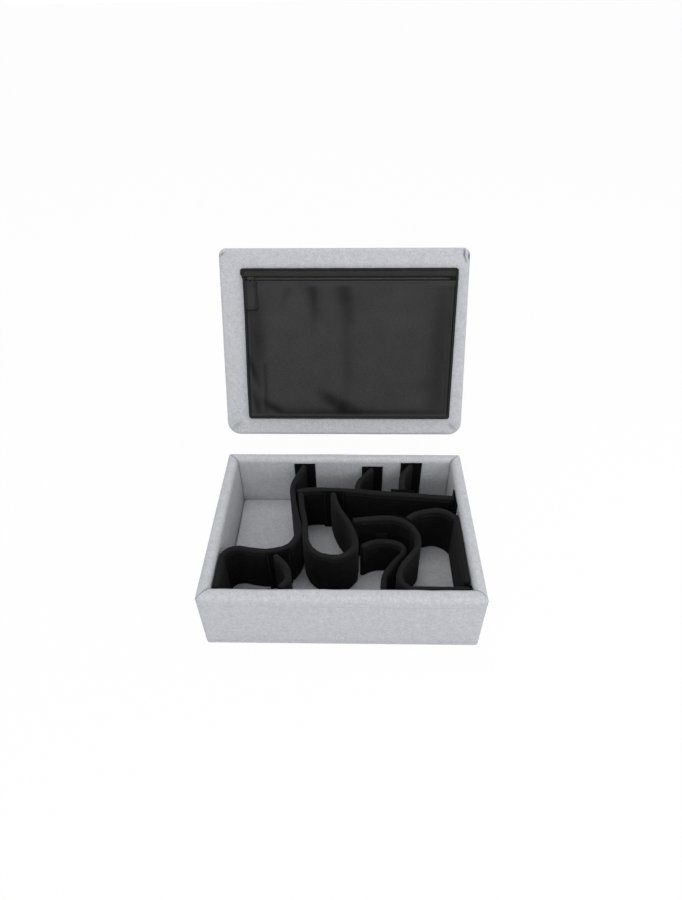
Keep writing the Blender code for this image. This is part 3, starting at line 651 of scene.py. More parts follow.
class Group(Graph):
    """A node group that is being built, with sockets of its own."""

    def __init__(self, name: str, kind: str, inputs: dict[str, object],
                 outputs: dict[str, str]) -> None:
        """Start the group.

        Args:
            name: The group's name.
            kind: "Shader" or "Geometry".
            inputs: Each input's value, or the name of its type where it has none.
            outputs: The name of each output's type.
        """
        super().__init__(bpy.data.node_groups.new(name, f"{kind}NodeTree"))
        for label, value in inputs.items():
            made = self.tree.interface.new_socket(label, in_out="INPUT",
                                                  socket_type=self.socket_type(value))
            if not isinstance(value, str):
                made.default_value = value
        for label, value in outputs.items():
            self.tree.interface.new_socket(label, in_out="OUTPUT",
                                           socket_type=self.socket_type(value))
        self.source = self.add("NodeGroupInput")
        self.result = self.add("NodeGroupOutput")

    @staticmethod
    def socket_type(value: object) -> str:
        """The type of socket that holds a value, or that a name stands for."""
        kinds = {str: value, tuple: "Color", int: "Int", float: "Float"}
        return f"NodeSocket{kinds[type(value)]}"

    def given(self, label: str) -> Value:
        """One of the group's inputs."""
        return Value(self, self.source.outputs[label])

    def finished(self, **outputs: Value) -> bpy.types.NodeTree:
        """Link the outputs, and return the tree."""
        for label, value in outputs.items():
            self.feed(self.result.inputs[label], value)
        return self.tree


def grey(value: float, cool: float = 0.0) -> Colour:
    """A linear grey, whose blue is a cool share brighter and whose red a quarter of it darker."""
    return (value * (1 - cool / 4), value, value * (1 + cool), 1.0)


class Effects:
    """Shader groups that several materials share, each built at its first use."""

    @staticmethod
    @cache
    def loop_pile() -> bpy.types.NodeTree:
        """Brushed loop cloth: fine loops, stray fibres and soft clouds of tone."""
        group = Group("loop_pile", "Shader", {
            "Vector": "Vector", "Shade": grey(0.4), "Tip": grey(0.6), "Loops": 900.0,
            "Clouding": 0.12}, {"Color": "Color", "Height": "Float"})
        place, loops = group.given("Vector"), group.given("Loops")
        fine = group.noise(place, loops, detail=3.0, rough=0.7)
        fibres = group.noise(place, loops * 0.4, rough=0.6, bent=1.5)
        clumps = group.noise(place, loops * 0.12, rough=0.6, bent=0.6)
        clouds = group.noise(place, scale=60.0, detail=3.0, rough=0.55)
        grain = fine * 0.35 + (fibres * 0.53 + clumps * 0.12)
        tone = group.mix(group.spread(grain, 0.35, 0.65), group.given("Shade"), group.given("Tip"))
        lift = (group.spread(clouds, 0.3, 0.7) - 0.5) * group.given("Clouding") + 1.0
        shaded = group.value("ShaderNodeVectorMath", {0: tone, "Scale": lift}, operation="SCALE")
        return group.finished(Color=shaded, Height=grain)

    @staticmethod
    @cache
    def plain_weave() -> bpy.types.NodeTree:
        """Woven threads that pass over and under each other, on a map in metres."""
        group = Group("plain_weave", "Shader", {
            "Vector": "Vector", "Warp": 0.6 * MM, "Weft": 0.6 * MM,
        }, {"Height": "Float", "Streak": "Float"})
        place = group.given("Vector")
        across = group.value("ShaderNodeSeparateXYZ", {0: place}, "X") / group.given("Warp")
        along = group.value("ShaderNodeSeparateXYZ", {0: place}, "Y") / group.given("Weft")
        cell = group.math("FLOOR", across) + group.math("FLOOR", along)
        over = group.math("MODULO", group.math("ABSOLUTE", cell), 2.0)
        height = over * group.humps(across) + (1.0 - over) * group.humps(along)
        slub = group.noise(place, scale=700.0, bent=0.4) * 0.3
        drawn = group.value("ShaderNodeVectorMath", {0: place, 1: (0.3, 1.0, 1.0)},
                            operation="MULTIPLY")
        streak = group.spread(group.noise(drawn, scale=560.0, detail=3.0, rough=0.7), 0.42, 0.66)
        return group.finished(Height=height + slub, Streak=streak * 0.6)

    @staticmethod
    @cache
    def corded_rib() -> bpy.types.NodeTree:
        """Ribs across a woven tape, on a map in metres."""
        group = Group("corded_rib", "Shader", {
            "Vector": "Vector", "Rib": 1.2 * MM, "Thread": 0.5 * MM,
        }, {"Height": "Float", "Groove": "Float"})
        place = group.given("Vector")
        along = group.value("ShaderNodeSeparateXYZ", {0: place}, "X") / group.given("Rib")
        across = group.value("ShaderNodeSeparateXYZ", {0: place}, "Y") / group.given("Thread")
        rib = group.humps(along)
        return group.finished(Height=rib ** 0.6 + group.humps(across) * 0.3,
                              Groove=(1.0 - rib) ** 2.0)

    @staticmethod
    @cache
    def lint() -> bpy.types.NodeTree:
        """Pale specks and hairs that dark cloth picks up."""
        group = Group("lint", "Shader", {"Vector": "Vector", "Amount": 0.5}, {"Mask": "Float"})
        specks = group.noise(group.given("Vector"), scale=160.0, detail=4.0, rough=0.75, bent=1.2)
        return group.finished(Mask=group.spread(specks, 0.66, 0.74) * group.given("Amount"))

    @staticmethod
    @cache
    def scuffs() -> bpy.types.NodeTree:
        """Rubbed patches and fine scratches on a coated surface."""
        group = Group("scuffs", "Shader", {"Vector": "Vector", "Size": 400.0},
                      {"Mask": "Float", "Height": "Float"})
        place, size = group.given("Vector"), group.given("Size")
        cloud = group.noise(place, size, detail=4.0, rough=0.7, bent=0.5)
        fine = group.noise(place, size * 6.0, rough=0.6, bent=3.0)
        mask = group.spread(cloud, 0.48, 0.68) * group.spread(fine, 0.4, 0.6)
        return group.finished(Mask=mask, Height=fine)


# Finishes

class Coat(Graph):
    """A material that is being built round the Principled shader."""

    def __init__(self, name: str, **values: object) -> None:
        """Start the material.

        Args:
            name: The material's name.
            **values: The shader's inputs, with underscores for spaces.
        """
        self.material = bpy.data.materials.new(name)
        self.material.use_nodes = True
        super().__init__(self.material.node_tree)
        self.shader = self.tree.nodes["Principled BSDF"]
        for label, value in values.items():
            self.put(label.replace("_", " "), value)

    def put(self, label: str, value: object) -> None:
        """Link or set one of the shader's inputs."""
        self.feed(self.shader.inputs[label], value)

    @cached_property
    def place(self) -> Value:
        """The place on the piece, in metres."""
        return self.value("ShaderNodeTexCoord", output="Object")

    @cached_property
    def cloth(self) -> Value:
        """The place on the piece's own map, in metres along and across the cloth."""
        return self.value("ShaderNodeUVMap", uv_map="cloth")

    def effect(self, tree: bpy.types.NodeTree, **inputs: object) -> dict[str, Value]:
        """Place a shared effect with its own values, and return its outputs by name."""
        node = self.add("ShaderNodeGroup", inputs=None, node_tree=tree)
        for label, value in inputs.items():
            self.feed(node.inputs[label], value)
        return {output.name: Value(self, output) for output in node.outputs}

    def marked(self, name: str, amount: float) -> Value:
        """The piece's own mark of that name, times an amount."""
        return self.value("ShaderNodeAttribute", output="Fac", attribute_name=name) * amount

    def bump(self, height: Value, depth: float, strength: float) -> None:
        """Link a height into the normal, over any bump that is there.

        Args:
            height: The height.
            depth: Its full size in metres.
            strength: How much of it is used.
        """
        inputs = {"Height": height, "Distance": depth, "Strength": strength}
        below = self.shader.inputs["Normal"]
        if below.is_linked:
            inputs["Normal"] = Value(self, below.links[0].from_socket)
        self.put("Normal", self.value("ShaderNodeBump", inputs))


@dataclass(frozen=True)
class Finish:
    """A material: its darker and its paler tone, and how it shines."""

    shade: Colour
    tip: Colour
    roughness: float
    specular: float = 0.5
    metallic: float = 0.0
    sheen: float = 0.0
    sheen_roughness: float = 0.45
    fold_shading: float = 0.0
    fold_shade_tone: Colour = grey(0.002)
    fold_shade_dulling: float = 0.35

    def build(self, name: str) -> bpy.types.Material:
        """Make the material, with painted shade in folds: darker and duller where the piece's fold shade mark is
        high.

        Args:
            name: The material's name.

        Returns:
            The material.
        """
        coat = Coat(name, Metallic=self.metallic, Sheen_Weight=self.sheen,
                    Sheen_Roughness=self.sheen_roughness, Specular_IOR_Level=self.specular)
        tone, rough = self.paint(coat)
        # Painted shade: folds, gathers and grooves are mixed towards a near-black tone where the mark is high.
        if self.fold_shading:
            share = coat.marked("crease", self.fold_shading)
            rough = share * self.fold_shade_dulling + rough
            tone = coat.mix(share, tone, self.fold_shade_tone)
        coat.put("Roughness", rough)
        coat.put("Base Color", tone)
        return coat.material

    def paint(self, coat: Coat) -> tuple[Value, object]:
        """Add what is the finish's own.

        Args:
            coat: The material that is being built.

        Returns:
            Its tone and its roughness.
        """
        raise NotImplementedError


@dataclass(frozen=True, kw_only=True)
class LoopCloth(Finish):
    """Brushed loop cloth that hook tape grips."""

    loops: float
    clouding: float
    lint: float = 0.0
    lint_tone: Colour = (0.16, 0.16, 0.17, 1.0)
    rubbed: float = 0.0
    wear_and_rim_highlight_tone: Colour = grey(0.026)
    depth: float = 0.9 * MM

    def paint(self, coat: Coat) -> tuple[Value, object]:
        """Pile, with lint on it, and paler where the piece's wear and rim highlight mark is high: partly rubbed
        wear, partly a painted highlight.
        """
        pile = coat.effect(Effects.loop_pile(), Vector=coat.place, Shade=self.shade, Tip=self.tip,
                           Loops=self.loops, Clouding=self.clouding)
        tone = pile["Color"]
        if self.lint:
            specks = coat.effect(Effects.lint(), Vector=coat.place, Amount=self.lint)
            tone = coat.mix(specks["Mask"], tone, self.lint_tone)
        # Partly rubbed wear, partly painted highlight: paler where the mark is high.
        if self.rubbed:
            tone = coat.mix(coat.marked("rubbed", self.rubbed), tone, self.wear_and_rim_highlight_tone)
        coat.bump(pile["Height"], self.depth, strength=0.55)
        return tone, self.roughness


@dataclass(frozen=True, kw_only=True)
class WovenCloth(Finish):
    """Woven nylon, with its threads on the cloth's own map."""

    thread: float = 0.6 * MM
    weft_share: float = 1.3
    depth: float = 0.10 * MM

    def paint(self, coat: Coat) -> tuple[Value, object]:
        """Weave, streaked along its threads and clouded in tone and shine."""
        weave = coat.effect(Effects.plain_weave(), Vector=coat.cloth, Warp=self.thread,
                            Weft=self.thread * self.weft_share)
        cloud = coat.noise(coat.place, scale=22.0, detail=3.0, rough=0.6)
        tone = coat.mix(coat.spread(weave["Height"], 0.2, 1.2), self.shade, self.tip)
        tone = coat.mix(weave["Streak"], tone, self.shade)
        tone = coat.mix(coat.spread(cloud, 0.35, 0.75, 0.0, 0.22), tone, self.shade)
        coat.bump(weave["Height"], self.depth, strength=0.5)
        return tone, coat.spread(cloud, 0.3, 0.7, self.roughness - 0.05, self.roughness + 0.07)


@dataclass(frozen=True, kw_only=True)
class RibbedTape(Finish):
    """Ribbed woven tape, as for bindings, hook tape and webbing."""

    rib: float
    thread_share: float = 0.45
    depth_share: float = 0.22
    fuzz_depth: float = 0.15 * MM

    def paint(self, coat: Coat) -> tuple[Value, object]:
        """Ribs with dark grooves, and a fuzz over them."""
        ribs = coat.effect(Effects.corded_rib(), Vector=coat.cloth, Rib=self.rib,
                           Thread=self.rib * self.thread_share)
        fuzz = coat.noise(coat.place, scale=1400.0, rough=0.6, bent=0.8)
        tone = coat.mix(ribs["Groove"], self.tip, self.shade)
        tone = coat.mix(coat.spread(fuzz, 0.45, 0.75, 0.0, 0.5), tone, self.shade)
        coat.bump(ribs["Height"], self.rib * self.depth_share, strength=0.6)
        coat.bump(fuzz, self.fuzz_depth, strength=0.4)
        return tone, self.roughness


@dataclass(frozen=True, kw_only=True)
class CoatedPart(Finish):
    """Hard coated or moulded part: painted metal, moulded teeth, board."""

    size: float
    depth: float
    wear_dulling: float = 0.2

    def paint(self, coat: Coat) -> tuple[Value, object]:
        """Scuffs, paler and duller than the rest."""
        scuffs = coat.effect(Effects.scuffs(), Vector=coat.place, Size=self.size)
        coat.bump(scuffs["Height"], self.depth, strength=0.3)
        dullest = min(1.0, self.roughness + self.wear_dulling)
        return (coat.mix(scuffs["Mask"], self.shade, self.tip),
                coat.spread(scuffs["Mask"], 0.0, 1.0, self.roughness, dullest))


@dataclass(frozen=True, kw_only=True)
class Thread(Finish):
    """Twisted sewing thread."""

    depth: float = 0.1 * MM

    def paint(self, coat: Coat) -> tuple[Value, object]:
        """A fine twist."""
        twist = coat.noise(coat.place, scale=2600.0, rough=0.6, bent=1.5)
        coat.bump(twist, self.depth, strength=0.4)
        return coat.mix(coat.spread(twist, 0.4, 0.6), self.shade, self.tip), self.roughness


class Look(Enum):
    GREY_PILE = LoopCloth(grey(0.36, 0.055), grey(0.635, 0.05), 0.92, 0.1, sheen=0.1, fold_shading=0.7,
                          loops=1000.0, clouding=0.06)
    BLACK_PILE = LoopCloth(grey(0.0022), grey(0.0085), 0.92, 0.04, sheen=0.03, loops=900.0,
                           clouding=0.5, lint=0.3, rubbed=0.40)
    SATIN_NYLON = WovenCloth(grey(0.012), grey(0.041), 0.40, 0.16, fold_shading=0.95)
    BAND_NYLON = WovenCloth(grey(0.012, -0.05), grey(0.036, -0.05), 0.50, 0.12)
    EDGE_TAPE = RibbedTape(grey(0.006), grey(0.020), 0.6, 0.1, rib=1.1 * MM)
    HOOK_WEAVE = RibbedTape(grey(0.0015), grey(0.006), 0.8, 0.04, rib=1.3 * MM)
    WEBBING = RibbedTape(grey(0.010), grey(0.032), 0.5, 0.15, fold_shading=0.95, rib=1.5 * MM)
    ZIPPER_TAPE = RibbedTape(grey(0.003), grey(0.011), 0.7, 0.1, rib=0.9 * MM)
    MOULDED_TEETH = CoatedPart(grey(0.012), grey(0.030), 0.38, size=500.0, depth=0.03 * MM)
    COATED_METAL = CoatedPart(grey(0.018), grey(0.10), 0.36, metallic=0.75, size=500.0,
                              depth=0.02 * MM)
    FIBRE_BOARD = CoatedPart(grey(0.055, -0.03), grey(0.085, -0.03), 0.62, size=150.0,
                             depth=0.15 * MM)
    GREY_THREAD = Thread(grey(0.34, 0.05), grey(0.50, 0.05), 0.7, 0.4, sheen=0.2)
    BLACK_THREAD = Thread(grey(0.004), grey(0.012), 0.7, 0.4, sheen=0.2)


@cache
def material_of(look: Look) -> bpy.types.Material:
    """A finish's material, built at its first use."""
    return look.value.build(look.name.lower())


def coat_with(piece: bpy.types.Object, look: Look) -> None:
    """Give a piece one material."""
    piece.data.materials.clear()
    piece.data.materials.append(material_of(look))


def mark(piece: bpy.types.Object, name: str, values: np.ndarray) -> None:
    """Keep a share for each point of a piece, which its finish reads under that name."""
    kept = piece.data.attributes.new(name, "FLOAT", "POINT")
    kept.data.foreach_set("value", np.clip(values, 0.0, 1.0).ravel())


def dress(piece: bpy.types.Object, look: Look, slot: Slot, body: str, *nodes: str) -> None:
    """Give a finished piece its material and its body.

    Args:
        piece: The piece, in place.
        look: Its finish.
        slot: Material slot of the record; not used.
        body: The body that it rides on.
        *nodes: The CAD nodes that it stands for.
    """
    coat_with(piece, look)
    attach(piece, body)
    if nodes:
        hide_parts(*nodes)
    LOG.info("%s: %d faces on %s", piece.name, len(piece.data.polygons), body)


# Repeats made by Geometry Nodes

class Repeats:
    """Geometry Nodes trees for stitches, teeth and hooks."""

    @staticmethod
    @cache
    def along_path() -> bpy.types.NodeTree:
        """Copies of a piece along each path, turned with it."""
        group = Group("along_path", "Geometry", {
            "Geometry": "Geometry", "Pitch": 3 * MM, "Piece": "Object", "Sway": 0.0,
            "Material": "Material"}, {"Geometry": "Geometry"})
        curve = group.value("GeometryNodeMeshToCurve", {0: group.given("Geometry")})
        points = group.add("GeometryNodeCurveToPoints", {0: curve, "Length": group.given("Pitch")},
                           mode="LENGTH")
        spots, heading = (Value(group, points.outputs[name]) for name in ("Points", "Rotation"))
        turned = group.value("FunctionNodeRotateRotation", {
            0: heading, 1: Repeats.sway(group, axes=(0, 1, 2))}, rotation_space="LOCAL")
        return Repeats.copies(group, spots, turned)

    @staticmethod
    @cache
    def in_field() -> bpy.types.NodeTree:
        """Copies of a piece in rows and columns round the origin."""
        group = Group("in_field", "Geometry", {
            "Geometry": "Geometry", "Width": 0.1, "Height": 0.05, "Columns": 10, "Rows": 5,
            "Piece": "Object", "Sway": 0.0, "Material": "Material"}, {"Geometry": "Geometry"})
        grid = group.value("GeometryNodeMeshGrid", {
            "Size X": group.given("Width"), "Size Y": group.given("Height"),
            "Vertices X": group.given("Columns"), "Vertices Y": group.given("Rows")}, "Mesh")
        return Repeats.copies(group, grid, Repeats.sway(group, axes=(2,)))

    @staticmethod
    def sway(group: Group, axes: tuple[int, ...]) -> Value:
        """A small random turn about some axes, drawn for each copy.

        Args:
            group: The tree.
            axes: The axes.

        Returns:
            The turn, as a rotation.
        """
        most = group.value("ShaderNodeCombineXYZ", {axis: group.given("Sway") for axis in axes})
        least = group.value("ShaderNodeVectorMath", {0: most, 1: (-1, -1, -1)},
                            operation="MULTIPLY")
        drawn = group.value("FunctionNodeRandomValue", {0: least, 1: most, "Seed": SEED},
                            data_type="FLOAT_VECTOR")
        return group.value("FunctionNodeEulerToRotation", {0: drawn})

    @staticmethod
    def copies(group: Group, points: Value, turns: Value) -> bpy.types.NodeTree:
        """Put a copy on each point, and end in real geometry with its material.

        Args:
            group: The tree.
            points: Where the copies stand.
            turns: How they are turned.

        Returns:
            The finished tree.
        """
        piece = group.value("GeometryNodeObjectInfo", {"Object": group.given("Piece")}, "Geometry")
        made = group.value("GeometryNodeInstanceOnPoints", {
            "Points": points, "Instance": piece, "Rotation": turns})
        real = group.value("GeometryNodeRealizeInstances", {0: made})
        return group.finished(Geometry=group.value("GeometryNodeSetMaterial", {
            0: real, "Material": group.given("Material")}))

    @staticmethod
    def run(name: str, tree: bpy.types.NodeTree, piece: bpy.types.Object, look: Look,
            paths: list[np.ndarray], **inputs: object) -> bpy.types.Object:
        """Run a tree and keep the plain mesh that it makes.

        Args:
            name: Name of the result.
            tree: The tree.
            piece: What is copied; it is removed afterwards.
            look: Finish of the copies.
            paths: Polylines that the tree reads, if it reads any.
            **inputs: Values of the tree's other inputs.

        Returns:
            A new object with the realized mesh.
        """
        inputs |= {"Piece": piece, "Material": material_of(look)}
        starts = np.cumsum([0] + [len(path) for path in paths])
        edges = [(spot, spot + 1) for start, after in zip(starts, starts[1:])
                 for spot in range(start, after - 1)]
        holder = linked("holder", bpy.data.meshes.new("holder"))
        holder.data.from_pydata([point for path in paths for point in path], edges, [])
        modifier = holder.modifiers.new("repeat", "NODES")
        modifier.node_group = tree
        for socket in tree.interface.items_tree:
            if socket.in_out == "INPUT" and socket.name in inputs:
                modifier[socket.identifier] = inputs[socket.name]
        holder.update_tag()
        bpy.context.view_layer.update()
        made = holder.evaluated_get(bpy.context.evaluated_depsgraph_get())
        data = bpy.data.meshes.new_from_object(made)
        data.name = name
        for used in (holder, piece):
            bpy.data.objects.remove(used)
        return linked(name, data)


@dataclass
class Seams:
    """Rows of stitches, gathered for each body and sewn at the end."""

    pitch: float = 4.0 * MM
    stitch: float = 2.9 * MM
    thread: float = 0.75 * MM
    sway: float = 0.06
    sides: int = 6
    section_shares: tuple[tuple[float, float], ...] = (
        (-1.0, 0.35), (-0.8, 0.8), (-0.35, 1.0), (0.35, 1.0), (0.8, 0.8), (1.0, 0.35))
    rows: dict[tuple[str, Look], list[np.ndarray]] = field(default_factory=dict)

    def add(self, body: str, thread: Look, *paths: np.ndarray) -> None:
        """Keep rows for one body and one thread."""
        self.rows.setdefault((body, thread), []).extend(paths)

    def spindle(self) -> bpy.types.Object:
        """One stitch: a short round spindle along Z."""
        ring = circle(self.thread / 2, self.sides)
        return lofted("stitch", np.array([
            np.column_stack([ring * width, np.full(self.sides, share * self.stitch / 2)])
            for share, width in self.section_shares]))

    def sew(self) -> None:
        """Make the stitches, one object for each body and thread."""
        for (body, thread), paths in self.rows.items():
            made = Repeats.run(f"{body}_stitching", Repeats.along_path(), self.spindle(), thread,
                               paths, Pitch=self.pitch, Sway=self.sway)
            made.data.shade_smooth()
            slot = Slot.GREY_CLOTH if thread is Look.GREY_THREAD else Slot.BINDING
            dress(made, thread, slot, body)


SEAMS = Seams()


# Tray

@dataclass
class Corner:
    """The seam where two wall pads meet, seen in plan from the tray's outer corner."""

    point: np.ndarray
    inward: np.ndarray
    bow: float
    points: int = 21

    def seam(self) -> np.ndarray:
        """Points of the seam in plan, from the outer corner to the inner one."""
        share = np.linspace(0, 1, self.points)[:, None]
        aside = np.array([-self.inward[1], self.inward[0]]) / np.linalg.norm(self.inward)
        aside *= np.sign(aside @ (self.point * [1, -1]))
        return self.point + self.inward * share + aside * self.bow * np.sin(math.pi * share)

    def rounded(self, plan: np.ndarray, radius: float) -> np.ndarray:
        """Draw places near the outer corner in to a round one.

        Args:
            plan: Places in plan.
            radius: Radius of the round corner.

        Returns:
            The places, those past the round corner drawn in.
        """
        offset = radius - (plan - self.point) * np.sign(self.inward)
        size = np.linalg.norm(offset, axis=-1)
        outside = (offset > 0).all(axis=-1) & (size > radius)
        share = np.where(outside, radius / np.maximum(size, radius), 1.0)[..., None]
        return self.point + (radius - offset * share) * np.sign(self.inward)

    def reach(self, depth: np.ndarray, axis: int) -> np.ndarray:
        """How far along an axis a wall goes at each depth from its outer face."""
        seam = self.seam()
        return np.interp(depth, np.abs(seam - self.point)[:, 1 - axis], seam[:, axis])


@dataclass
class WallPad:
    """One padded wall: cloth over foam, rolled along its top.

    It runs along an axis from its start corner to its end corner, and outward is the
    sign of its outer side. Shares are of its length, its thickness or its height.
    """

    name: str
    axis: int
    outward: int
    start: Corner
    end: Corner
    seed: int
    roll: float = 11 * MM
    foot: float = 3.5 * MM
    roll_turns: int = 8
    outline_step: float = 6 * MM
    upright_round: float = 11 * MM
    seam_gap: float = 0.3 * MM
    valley: float = 3.0 * MM
    step: float = 4.5 * MM
    fine_steps: int = 4
    fine_reach: tuple[int, int] = (3, 2)
    soft: Lumps = Lumps(160 * MM)
    ripple: Lumps = Lumps(55 * MM, seed=1)
    dent: float = 1.1 * MM
    dent_ripple: float = 0.5 * MM
    sag: float = 0.9 * MM
    sag_ripple: float = 0.35 * MM
    inner_shares: tuple[float, float] = (0.55, 0.95)
    upper_shares: tuple[float, float] = (0.25, 0.92)
    sag_share: float = 0.8
    seam_height: float = 12 * MM
    seam_inset: float = 8 * MM
    seam_lift: float = 0.05 * MM
    seam_points: int = 60

    def __post_init__(self) -> None:
        """Read the wall's size and outer face from its CAD cover, and draw its section."""
        self.other = 1 - self.axis
        low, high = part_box(f"{self.name}_wall_cover")
        self.size = np.array([high[self.other] - low[self.other], high[2]])
        self.face = (high if self.outward > 0 else low)[self.other]
        self.outline = round_profile(*self.size, self.roll, self.outline_step, self.roll_turns,
                                     self.foot)
        self.depth, self.up = (self.outline + self.size / 2).T

    def span(self, depth: np.ndarray) -> np.ndarray:
        """Where the pad starts and ends along its axis, at each depth from its outer face."""
        return np.array([self.start.reach(depth, self.axis) + self.seam_gap,
                         self.end.reach(depth, self.axis) - self.seam_gap])

    def shares(self, length: float) -> np.ndarray:
        """Where its sections lie along it, close together near its ends."""
        count, fine = round(length / self.step), 1 / self.fine_steps
        first, last = self.fine_reach
        places = np.concatenate([np.arange(0, first, fine), np.arange(first, count - last),
                                 count - np.arange(0, last + fine / 2, fine)[::-1]])
        return places / places[-1]

    def rings(self) -> np.ndarray:
        """The pad's rings, its ends tucked in at the corner seams."""
        start, end = self.span(self.depth)
        length = (end - start).max()
        shares = self.shares(length)[:, None]
        tuck = self.valley * rounding(np.minimum(shares, 1 - shares) * length, self.valley)
        drawn = np.minimum(1.0, tuck / np.linalg.norm(self.outline, axis=1))
        section = self.size / 2 + self.outline * (1 - drawn)[..., None]
        first, last = self.span(section[..., 0])
        spots = np.empty((*section.shape[:2], 3))
        spots[..., self.axis] = first + (last - first) * shares
        spots[..., self.other] = self.face - self.outward * section[..., 0]
        spots[..., 2] = section[..., 1]
        return spots

    def soften(self, spots: np.ndarray) -> None:
        """Dent the pad's inner side, let its top sag, and round its upright corners.

        Args:
            spots: The pad's rings, which are moved.
        """
        soft, ripple = (lumps.dents(spots, self.seed) for lumps in (self.soft, self.ripple))
        inner = step_up(self.depth, *(self.size[0] * np.array(self.inner_shares)))
        upper = step_up(self.up, *(self.size[1] * np.array(self.upper_shares)))
        dent = inner * (self.dent * soft + self.dent_ripple * ripple * upper)
        spots[..., self.other] += self.outward * dent
        top = step_up(self.up, self.size[1] * self.sag_share, self.size[1])
        spots[..., 2] -= top * (self.sag * soft + self.sag_ripple * ripple)
        for corner in (self.start, self.end):
            spots[..., :2] = corner.rounded(spots[..., :2], self.upright_round)

    def build(self) -> None:
        """Make the wall pad and its seams."""
        spots = self.rings()
        self.soften(spots)
        piece = lofted(f"{self.name}_wall_pad", spots)
        dress(piece, Look.GREY_PILE, Slot.GREY_CLOTH, TRAY, f"{self.name}_wall_cover",
              f"{self.name}_wall_foam")
        start, end = self.span(self.depth)
        for height in (self.seam_height, self.size[1] - 2 * self.roll):
            ends = np.empty((2, 3))
            ends[:, self.axis] = start.min() + self.seam_inset, end.max() - self.seam_inset
            ends[:, self.other] = self.face + self.outward * self.seam_lift
            ends[:, 2] = height
            SEAMS.add(TRAY, Look.GREY_THREAD, np.linspace(*ends, self.seam_points))


@dataclass
class Tray:
    """The four wall pads and the floor pad."""

    front_right_bow: float = 4.5 * MM
    usual_bow: float = 0.8 * MM
    whip_sink: float = 1.6 * MM
    whip_slope: float = 1.15
    whip_ends: tuple[float, float] = (16 * MM, 40 * MM)
    whip_trim: tuple[int, int] = (2, -3)
    whip_shift_share: float = 0.06
    floor_roll: float = 5 * MM
    floor_foot: float = 2 * MM
    floor_corner: float = 6 * MM
    floor_step: float = 6 * MM
    floor_dents: Lumps = Lumps(120 * MM, 0.7 * MM, FLOOR_SEED)

    def build(self) -> None:
        """Make the tray's pads."""
        boxes = {name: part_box(f"{name}_wall_cover") for name in ("left", "right", "front", "back")}
        corners = {}
        for side, end in (("left", "front"), ("left", "back"), ("right", "front"), ("right", "back")):
            reach = np.array([self.outer(boxes[side], 0), self.outer(boxes[end], 1)])
            thick = [(boxes[wall][1] - boxes[wall][0])[axis] for axis, wall in enumerate((side, end))]
            bow = self.front_right_bow if (side, end) == ("right", "front") else self.usual_bow
            corners[side, end] = Corner(reach, -np.copysign(thick, reach), bow)
        for number, (name, start, end) in enumerate((
                ("back", ("left", "back"), ("right", "back")),
                ("front", ("left", "front"), ("right", "front")),
                ("left", ("left", "front"), ("left", "back")),
                ("right", ("right", "front"), ("right", "back")))):
            WallPad(name, int(name in ("left", "right")), 1 if name in ("back", "right") else -1,
                    corners[start], corners[end], SEED + WALL_SEED_STEP * number).build()
        for corner in corners.values():
            self.sew_corner(corner, boxes["back"][1][2])
        self.build_floor()

    @staticmethod
    def outer(box: tuple[np.ndarray, np.ndarray], axis: int) -> float:
        """A wall's outer face on an axis."""
        return max(box[0][axis], box[1][axis], key=abs)

    def sew_corner(self, corner: Corner, height: float) -> None:
        """Whip two walls together over their mitred corner and down inside it.

        Args:
            corner: The seam between the walls.
            height: Height of the walls.
        """
        seam, inner = corner.seam()[slice(*self.whip_trim)], corner.seam()[-1]
        across = np.linalg.norm(seam - corner.point, axis=1) / np.linalg.norm(corner.inward)
        from_edge = self.whip_slope * (1 - np.abs(2 * across - 1))
        drop = self.whip_sink + WallPad.roll * rounding(from_edge, 1.0)
        shift = inner + (corner.point - inner) * self.whip_shift_share
        top, bottom = self.whip_ends
        SEAMS.add(TRAY, Look.GREY_THREAD, np.column_stack([seam, height - drop]),
                  upright(shift, height - top, bottom))

    def build_floor(self) -> None:
        """Make the floor pad."""
        low, high = (np.array(corner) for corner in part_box("floor_cover"))
        block = PadBlock(low, high, self.floor_roll, self.floor_foot, (self.floor_corner,) * 4,
                         self.floor_step, side_lines=3)

        def shape(points: np.ndarray, edge: np.ndarray, zone: Zone) -> np.ndarray:
            """Dents in the upper side."""
            dents = self.floor_dents.dents(points) if zone is Zone.TOP else np.zeros(len(points))
            return points - dents[:, None] * [0, 0, 1]

        piece = block.build("floor_pad", shape, lambda points: points)
        dress(piece, Look.GREY_PILE, Slot.GREY_CLOTH, TRAY, "floor_cover", "floor_foam")


# Dividers

@dataclass
class Strip:
    """A standing strip's route and sizes, read from its CAD solid."""

    route: np.ndarray
    base: float
    top: float
    thickness: float

    @classmethod
    def of(cls, node: str) -> "Strip":
        """Read a strip.

        Args:
            node: Name of the CAD node, a strip with a ridge all along its top.

        Returns:
            The strip, its route in plan along the ridge.
        """
        data = frame["nodes"][node].data
        points = np.array([vert.co for vert in data.vertices])
        places, index = np.unique(np.round(points, WELD_DECIMALS), axis=0, return_inverse=True)
        index = index.reshape(-1)
        levels = np.unique(places[:, 2])
        base, top = levels[0], levels[-1]
        widest = int(np.diff(levels).argmax())
        ridge = np.flatnonzero(places[:, 2] > top - RIDGE_TOLERANCE)
        links: dict[int, set[int]] = {int(spot): set() for spot in ridge}
        for face in data.polygons:
            spots = [int(index[vert]) for vert in face.vertices]
            for one, two in zip(spots, spots[1:] + spots[:1]):
                if one in links and two in links and one != two:
                    links[one].add(two)
                    links[two].add(one)
        ends = [spot for spot in links if len(links[spot]) == 1]
        order = [min(ends, key=lambda spot: tuple(-places[spot, :2]))]
        while onward := [spot for spot in links[order[-1]] if spot not in order]:
            order.append(onward[0])
        return cls(places[order, :2], base, top, 2 * (top - levels[widest + 1]))

    @property
    def height(self) -> float:
        """From its base to its top."""
        return self.top - self.base

    def section(self, radius_share: float, step: float, turns: int) -> np.ndarray:
        """Its outline across, as an offset from its route and a level over its base."""
        outline = round_profile(self.thickness, self.height, self.thickness * radius_share, step, turns)
        return outline + [0, self.height / 2]


